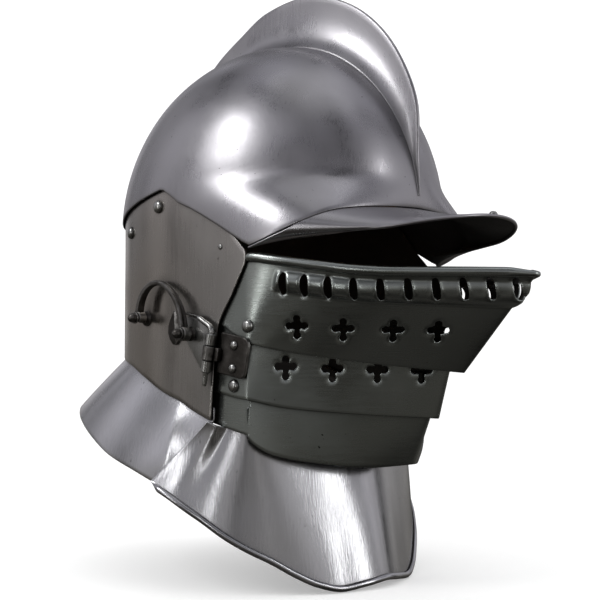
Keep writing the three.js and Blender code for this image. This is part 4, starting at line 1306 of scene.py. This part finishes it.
def make_buffe_leaf():
    corners = [(-28.2, -11.1), (-3.6, -11.1), (-3.6, 14), (-28.2, 14)]
    outline = rounded_corners(corners, [5, 2.2, 2.2, 6])
    panel = slab("panel", outline, LEAF_INNER, LEAF_INNER + LEAF_THICK, 0.7, on_hinge)
    neck_side = rounded_corners([(-7, -4.1), (-1.2, -4.1), (-1.2, 4.1), (-7, 4.1)], [1.2] * 4, 4)
    neck = slab("neck", neck_side, LEAF_INNER + 0.5, -0.7, 0.35, on_hinge)
    eye = knuckle("eye", 3.95, -MIDDLE_HALF, MIDDLE_HALF)
    piece = united("buffe_leaf_plate", panel, neck, eye)
    place_pair(piece, "buffe", "buffe_leaf", "black_iron", LEAF_IRON)


def make_helmet_leaf():
    wall_x = hull_width(HINGE[1] - 8, HINGE[2], NAPE_IN) - HINGE[0]
    corners = [(-1, -11.4), (8, -11.4), (27, 6), (27, 18.4), (13, 18.4), (-1, 12.6)]
    outline = rounded_corners(corners, [1.4, 3, 3, 2, 3, 1.6], 4)
    strap = slab("strap", outline, wall_x - 0.3, wall_x + 1.5, 0.5, on_hinge)
    upper = knuckle("upper", 3.35, MIDDLE_HALF + 0.25, KNUCKLE_TOP)
    lower = knuckle("lower", 3.35, -KNUCKLE_TOP, -MIDDLE_HALF - 0.25)
    piece = united("helmet_leaf_plate", strap, upper, lower)
    place_pair(piece, "helmet", "helmet_leaf", "dark_steel", RIVET_STEEL)


def make_pin():
    knots = [(0, 0, -20.5), (0, 0, -13), (0, 0, 12), (0, 0.9, 14.9), (0, 3, 16.4),
             (0, 8, 18), (0, 13, 19.6), (-1.2, 15.2, 19.95), (-2.2, 30, 19.9)]
    path = smooth_path(knots, 70)
    run = run_along(path)
    girth = through([(0, 1.5), (2, 1.75), (7, PIN_R), (33, PIN_R), (37, 1.8), (48, 1.5),
                     (52, 0.8), (60, 0.65), (68, 0.5)])
    flat = through([(0, 0.72), (6, 0.78), (8.5, 1), (70, 1)])
    piece = tube("hinge_pin_rod", on_hinge(path), girth(run), flat=flat(run), sides=18)
    place_pair(piece, "pin_SIDE", "hinge_pin", "polished_steel", RIVET_STEEL)


# ---- Latch bail and the leaf-shaped plate behind it ----
BAIL_OUT, BAIL_WIDTH, BAIL_THICK, BAIL_RISE = 7.0, 6.4, 3.2, 27.0
BAIL_EYE, BAIL_HOLE = 4.5, STUD_STEM + 0.25


def make_bail():
    front, rear = (
        wall_point(f, z, NAPE_IN) + [BAIL_OUT, 0, 0] for f, z in (FRONT_STUD, REAR_STUD))
    for end, (f, z) in ((front, FRONT_STUD), (rear, REAR_STUD)):
        end[1], end[2] = -f, z
    middle, half = (front + rear) / 2, (front - rear) / 2
    across = np.array(LEFT)
    flute = [
        (-0.5, 0.1), (-0.47, 0.32), (-0.38, 0.46), (-0.28, 0.5), (-0.18, 0.43), (-0.08, 0.3),
        (0.08, 0.3), (0.18, 0.43), (0.28, 0.5), (0.38, 0.46), (0.47, 0.32), (0.5, 0.1),
        (0.44, -0.38), (0.3, -0.5), (-0.3, -0.5), (-0.44, -0.38),
    ]
    loops = []
    for turn in np.linspace(0.02 * math.pi, 0.98 * math.pi, 44):
        c, s = math.cos(turn), math.sin(turn)
        point = middle + half * c + [0, 0, BAIL_RISE * s]
        out = unit(half / np.linalg.norm(half) * c + [0, 0, s])
        slim = 1 - 0.18 * s
        loops.append(np.array([
            point + across * w * BAIL_WIDTH * slim + out * h * BAIL_THICK for w, h in flute]))
    band = loft("band", loops, sharp=60)
    wide = BAIL_WIDTH / 2 - 0.2
    front_eye = turned_ring("front_eye", eye_profile(wide, 0.5), front, LEFT)
    hook = [hook_section(wide, rear, turn) for turn in np.radians(np.linspace(-45, 200, 30))]
    rear_hook = loft("rear_hook", hook, sharp=40)
    piece = united("bail_forged", band, front_eye, rear_hook)
    place_pair(piece, "bail_SIDE", "bail", "black_iron", IRON)


def hook_section(wide, centre, turn):
    """A cross-section of a hook round an axis along x, at an angle up from the front."""
    way = np.array([0, -math.cos(turn), math.sin(turn)])
    return np.array([
        centre + way * r + np.array(LEFT) * x for r, x in eye_profile(wide, 0.45)])


def eye_profile(wide, soft):
    """Half of a cross-section through the bail's eye or hook, its outer corners cut off."""
    return [(BAIL_HOLE, -wide), (BAIL_EYE - soft, -wide), (BAIL_EYE, soft - wide),
            (BAIL_EYE, wide - soft), (BAIL_EYE - soft, wide), (BAIL_HOLE, wide)]


def make_escutcheon():
    f, z = -14.5, -21.0
    normal = wall_normal(f, z, NAPE_IN)
    up = np.array([0.0, 0.0, 1.0])
    axes = np.array([normal, np.cross(up, normal), up])
    base = wall_point(f, z, NAPE_IN)
    half = [(-10.5, 1.4), (-7.4, 4.3), (-3.2, 6.2), (1, 6.0), (5, 4.4), (8.4, 2.4), (10.8, 1.0)]
    outline = [(y, x) for x, y in half] + [(-y, x) for x, y in half[::-1]]
    outline = rounded_corners(outline, [0.3] + [1.2] * 5 + [0.2] * 2 + [1.2] * 5 + [0.3], 3)
    piece = slab("escutcheon_leaf", outline, 0.1, 1.9, 0.6, lambda p: base + p @ axes)
    place_pair(piece, "helmet", "escutcheon", "black_iron", IRON)


# ---- Liner ----
BAND_TOP, BAND_LOW, BAND_LEAN = 104.0, 72.0, 2.2


def liner_point(degrees, z, inset):
    turned = np.abs((degrees + 180) % 360 - 180)
    phi = np.radians((degrees + 180) % 360 - 180)
    return dome_point(phi, alpha_at(phi, np.maximum(z, rim_z(turned) + 6)), inset)


def make_liner_band():
    """Quilted leather: flat towards the skull, padded towards the head, sewn in channels."""
    channels = 30
    levels = np.linspace(0, 1, 15)
    loops = []
    for degrees in np.linspace(0, 360, channels * 8, endpoint=False):
        across = abs(math.sin(math.radians(degrees) * channels / 2))
        puff = 2.1 * across**0.6
        rows = []
        for t in levels:
            rim = math.sin(math.pi * t) ** 0.35
            inset = lerp(0, BAND_LEAN, t) + 5.6 + 0.5 + puff * rim
            rows.append((lerp(BAND_LOW, BAND_TOP, t), inset))
        rows += [(lerp(BAND_LOW, BAND_TOP, t), lerp(0, BAND_LEAN, t) + 5.1) for t in levels[::-1]]
        heights, insets = np.array(rows).T
        loops.append(liner_point(np.full(len(rows), degrees), heights, insets))
    piece = loft("liner_band_quilted", loops, sharp=70, closed=True)
    place(piece, "helmet", ["liner_band"], "leather", LEATHER)


def stitches(name, path, normals, gap=4.2, length=2.9, radius=0.42):
    """A row of thread stitches lying on a path."""
    run = run_along(path)
    points, faces = [], []
    rows, sides = 6, 6
    for start in np.arange(gap / 2, run[-1] - length, gap):
        t = start + length * np.linspace(0, 1, rows)
        centre = np.stack([np.interp(t, run, path[:, k]) for k in range(3)], -1)
        normal = unit(np.stack([np.interp(t, run, normals[:, k]) for k in range(3)], -1))
        arch = np.sin(math.pi * np.linspace(0, 1, rows)) ** 0.5
        centre = centre + normal * (arch * radius * 1.1 - 0.15)[:, None]
        along = unit(np.gradient(centre, axis=0))
        side = unit(np.cross(along, normal))
        first = len(points)
        for c, s, n, a in zip(centre, side, normal, arch):
            for turn in full_turn(sides):
                girth = radius * (0.55 + 0.45 * a)
                points.append(c + girth * (math.cos(turn) * s + math.sin(turn) * n))
        for row in range(rows - 1):
            for k in range(sides):
                a, b = first + row * sides + k, first + row * sides + (k + 1) % sides
                faces.append([a, b, b + sides, a + sides])
        faces.append([first + k for k in range(sides)][::-1])
        faces.append([first + (rows - 1) * sides + k for k in range(sides)])
    piece = new_piece(name, np.array(points), faces, sharp=80)
    face_out(piece)
    return piece


def make_liner_seams():
    round_head = np.linspace(0, 360, 361)
    for name, t in (("low", 0.07), ("top", 0.93)):
        z = lerp(BAND_LOW, BAND_TOP, t)
        inset = lerp(0, BAND_LEAN, t) + 6.6
        path = liner_point(round_head, np.full(361, z), np.full(361, inset))
        normals = unit(at(0, CENTRE_F, z) - path)
        piece = stitches(f"liner_seam_{name}", path, normals)
        place(piece, "helmet", [], "leather", THREAD)


TONGUE_FOOT, TONGUE_FOOT_HALF, TONGUE_TIP_HALF = 99.0, 22.0, 8.5


def tongue_surface(degrees):
    phi = math.radians(degrees)
    x, f = hull(phi, 100.0, 12.0)
    radius = math.hypot(x, f - CENTRE_F)
    tip = 37.0 if abs(degrees) > SIDE else 25.0
    last = math.acos((tip / radius) ** (dome_power(phi) / 2))

    def surface(u, v):
        alpha = lerp(alpha_at(phi, TONGUE_FOOT), last, v)
        across = radius * np.cos(alpha) ** (2 / dome_power(phi))
        half = lerp(TONGUE_FOOT_HALF, TONGUE_TIP_HALF, power(v, 1.15))
        half = half * np.sqrt(np.clip(1 - ((v - 0.86) / 0.142) ** 2 * (v > 0.86), 0.02, 1))
        spread = np.arctan(half * u / across)
        return dome_point(phi + spread, alpha, lerp(10.6, 12.2, v))

    return surface


def make_tongues():
    for i, degrees in enumerate((0, 60, 120, 180, -120, -60)):
        surface = tongue_surface(degrees)
        piece = plate(
            f"liner_tongue_{i + 1}_leather", surface, np.linspace(-1, 1, 20),
            np.linspace(0, 1, 44), thick=2.0, grain=(40, 90),
            relief=uneven(surface, 16, 0.4))
        place(piece, "helmet", [f"liner_tongue_{i + 1}"], "leather", LEATHER)
        foot = np.linspace(-0.9, 0.9, 60)
        path = surface(foot, np.full(60, 0.045))
        normals = unit(at(0, CENTRE_F, 60) - path)
        seam = stitches(f"tongue_seam_{i + 1}", path + normals * 2.1, normals)
        place(seam, "helmet", [], "leather", THREAD)


CROWN_R = 34.0
CROWN_MIDDLE = 3.2
WELT_R = 1.1


def make_crown():
    """A round quilted pad: two crowned faces drawn in along rings and spokes."""
    rings, spokes, rows = 2, 8, 30
    turns = full_turn(192)

    def puffed(r, turn):
        cell = np.abs(np.sin(math.pi * rings * r / CROWN_R)) ** 0.5
        spoke = np.abs(np.sin(spokes * turn / 2)) ** 0.45
        inside = np.where(r < CROWN_R / rings, 1.0, spoke)
        rim = np.sqrt(np.clip(1 - (r / CROWN_R) ** 6, 0, 1))
        return rim, cell * inside

    loops = []
    radii = CROWN_R * np.sin(np.linspace(0.02, math.pi / 2, rows))
    back_in = CROWN_R * np.sin(np.linspace(math.pi / 2, 0.02, rows))[1:]
    for face, bulge, puffs in ((radii, 1.5, 1.8), (back_in, -1.9, -1.25)):
        for r in face:
            rim, puff = puffed(r, turns)
            loops.append(np.column_stack([
                r * np.sin(turns), r * np.cos(turns),
                CROWN_MIDDLE + (bulge + puffs * puff) * rim]))
    base = at(0, CENTRE_F, CROWN_Z)
    piece = loft("crown_pad_quilted", [base + loop for loop in loops], sharp=80)
    place(piece, "helmet", ["liner_crown"], "padding", CANVAS)
    welt = turned_ring("crown_welt", [
        (CROWN_R - 0.4 + WELT_R * math.cos(a), CROWN_MIDDLE + WELT_R * math.sin(a))
        for a in full_turn(10)], base, (0, 0, 1), 96, 80)
    place(welt, "helmet", [], "leather", LEATHER)


for make in (make_rivets, make_studs, make_buffe_leaf, make_helmet_leaf, make_pin, make_bail,
             make_escutcheon, make_liner_band, make_liner_seams, make_tongues, make_crown):
    make()


# ---- Floor and light ----
LIGHTS_AIM_Z = -0.12


def make_floor():
    """A pale sweep: flat under the helmet, curving up into a wall far away all round it."""
    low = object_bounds()[0].z - 0.0005
    flat, bend, rise, sides = 3.0, 1.5, 2.5, 72
    arc = np.radians(np.linspace(0, 90, 13))
    profile = [(flat + bend * math.sin(a), bend * (1 - math.cos(a))) for a in arc]
    profile.append((flat + bend, bend + rise))
    turns = full_turn(sides)
    points = [(r * math.cos(a), r * math.sin(a), low + z) for r, z in profile for a in turns]
    faces = [list(range(sides))]
    for row in range(len(profile) - 1):
        for k in range(sides):
            a, b = row * sides + k, row * sides + (k + 1) % sides
            faces.append([a, a + sides, b + sides, b])
    mesh = bpy.data.meshes.new("floor")
    mesh.from_pydata(points, [], faces)
    mesh.shade_smooth()
    floor = add_object("floor", mesh)
    shader = Shader("pale_floor")
    shader.set(
        Base_Color=shader.cloudy(3, 2, 0.3, 0.7, (0.78, 0.78, 0.78), (0.8, 0.8, 0.8)),
        Roughness=0.9, Emission_Color=(1, 1, 1, 1), Emission_Strength=0.3)
    mesh.materials.append(shader.material)
    floor.visible_glossy = False


def make_world():
    """Pale surroundings; polished steel mirrors a dim room with upright bands instead."""
    world = bpy.data.worlds.new("studio")
    bpy.context.scene.world = world
    world.use_nodes = True
    studio = Nodes(world.node_tree, "Generated")
    height = studio.add("ShaderNodeSeparateXYZ", {0: studio.coords}).outputs["Z"]
    room = studio.add("ShaderNodeValToRGB", {"Fac": studio.ramp(height, -1, 1)})
    stops = [(0.0, (0.03, 0.028, 0.026)), (0.42, (0.07, 0.066, 0.06)), (0.5, (0.17, 0.165, 0.16)),
             (0.62, (0.26, 0.255, 0.27)), (1.0, (0.2, 0.2, 0.22))]
    elements = room.color_ramp.elements
    elements[0].position, elements[0].color = stops[0][0], (*stops[0][1], 1)
    elements[1].position, elements[1].color = stops[-1][0], (*stops[-1][1], 1)
    for position, colour in stops[1:-1]:
        elements.new(position).color = (*colour, 1)
    bands = studio.noise(3.4, 1.5, (1, 1, 0.12))
    gain = studio.ramp(bands, 0.36, 0.66, 0.22, 2.3)
    banded = studio.add(
        "ShaderNodeVectorMath", {0: room.outputs["Color"], "Scale": gain}, operation="SCALE")
    mirrored_by_steel = studio.add("ShaderNodeLightPath").outputs["Is Glossy Ray"]
    choice = studio.mix(mirrored_by_steel, (0.97, 0.97, 0.97), banded.outputs[0])
    studio.put(choice, world.node_tree.nodes["Background"].inputs["Color"])


def soft_box(name, azimuth, elevation, distance, width, height, power_w):
    back = direction(math.radians(azimuth), math.radians(elevation))
    data = bpy.data.lights.new(name, "AREA")
    data.shape = "RECTANGLE"
    data.size, data.size_y = width, height
    data.energy = power_w
    light = add_object(name, data)
    light.location = Vector((0, 0, LIGHTS_AIM_Z)) + back * distance
    light.rotation_mode = "QUATERNION"
    light.rotation_quaternion = back.to_track_quat("Z", "Y")
    light.visible_camera = False


make_floor()
make_world()
soft_box("window", -110, 40, 1.6, 0.45, 0.6, 5.5)
soft_box("window_right", 12, 12, 1.8, 0.25, 1.2, 3)
soft_box("ceiling", -20, 80, 1.8, 1.2, 1.2, 1.6)
soft_box("strip_side", -102, 4, 1.8, 0.14, 1.0, 1.6)
soft_box("strip_front", -62, 2, 1.8, 0.10, 0.9, 0.9)
bpy.context.scene.view_settings.view_transform = "Standard"
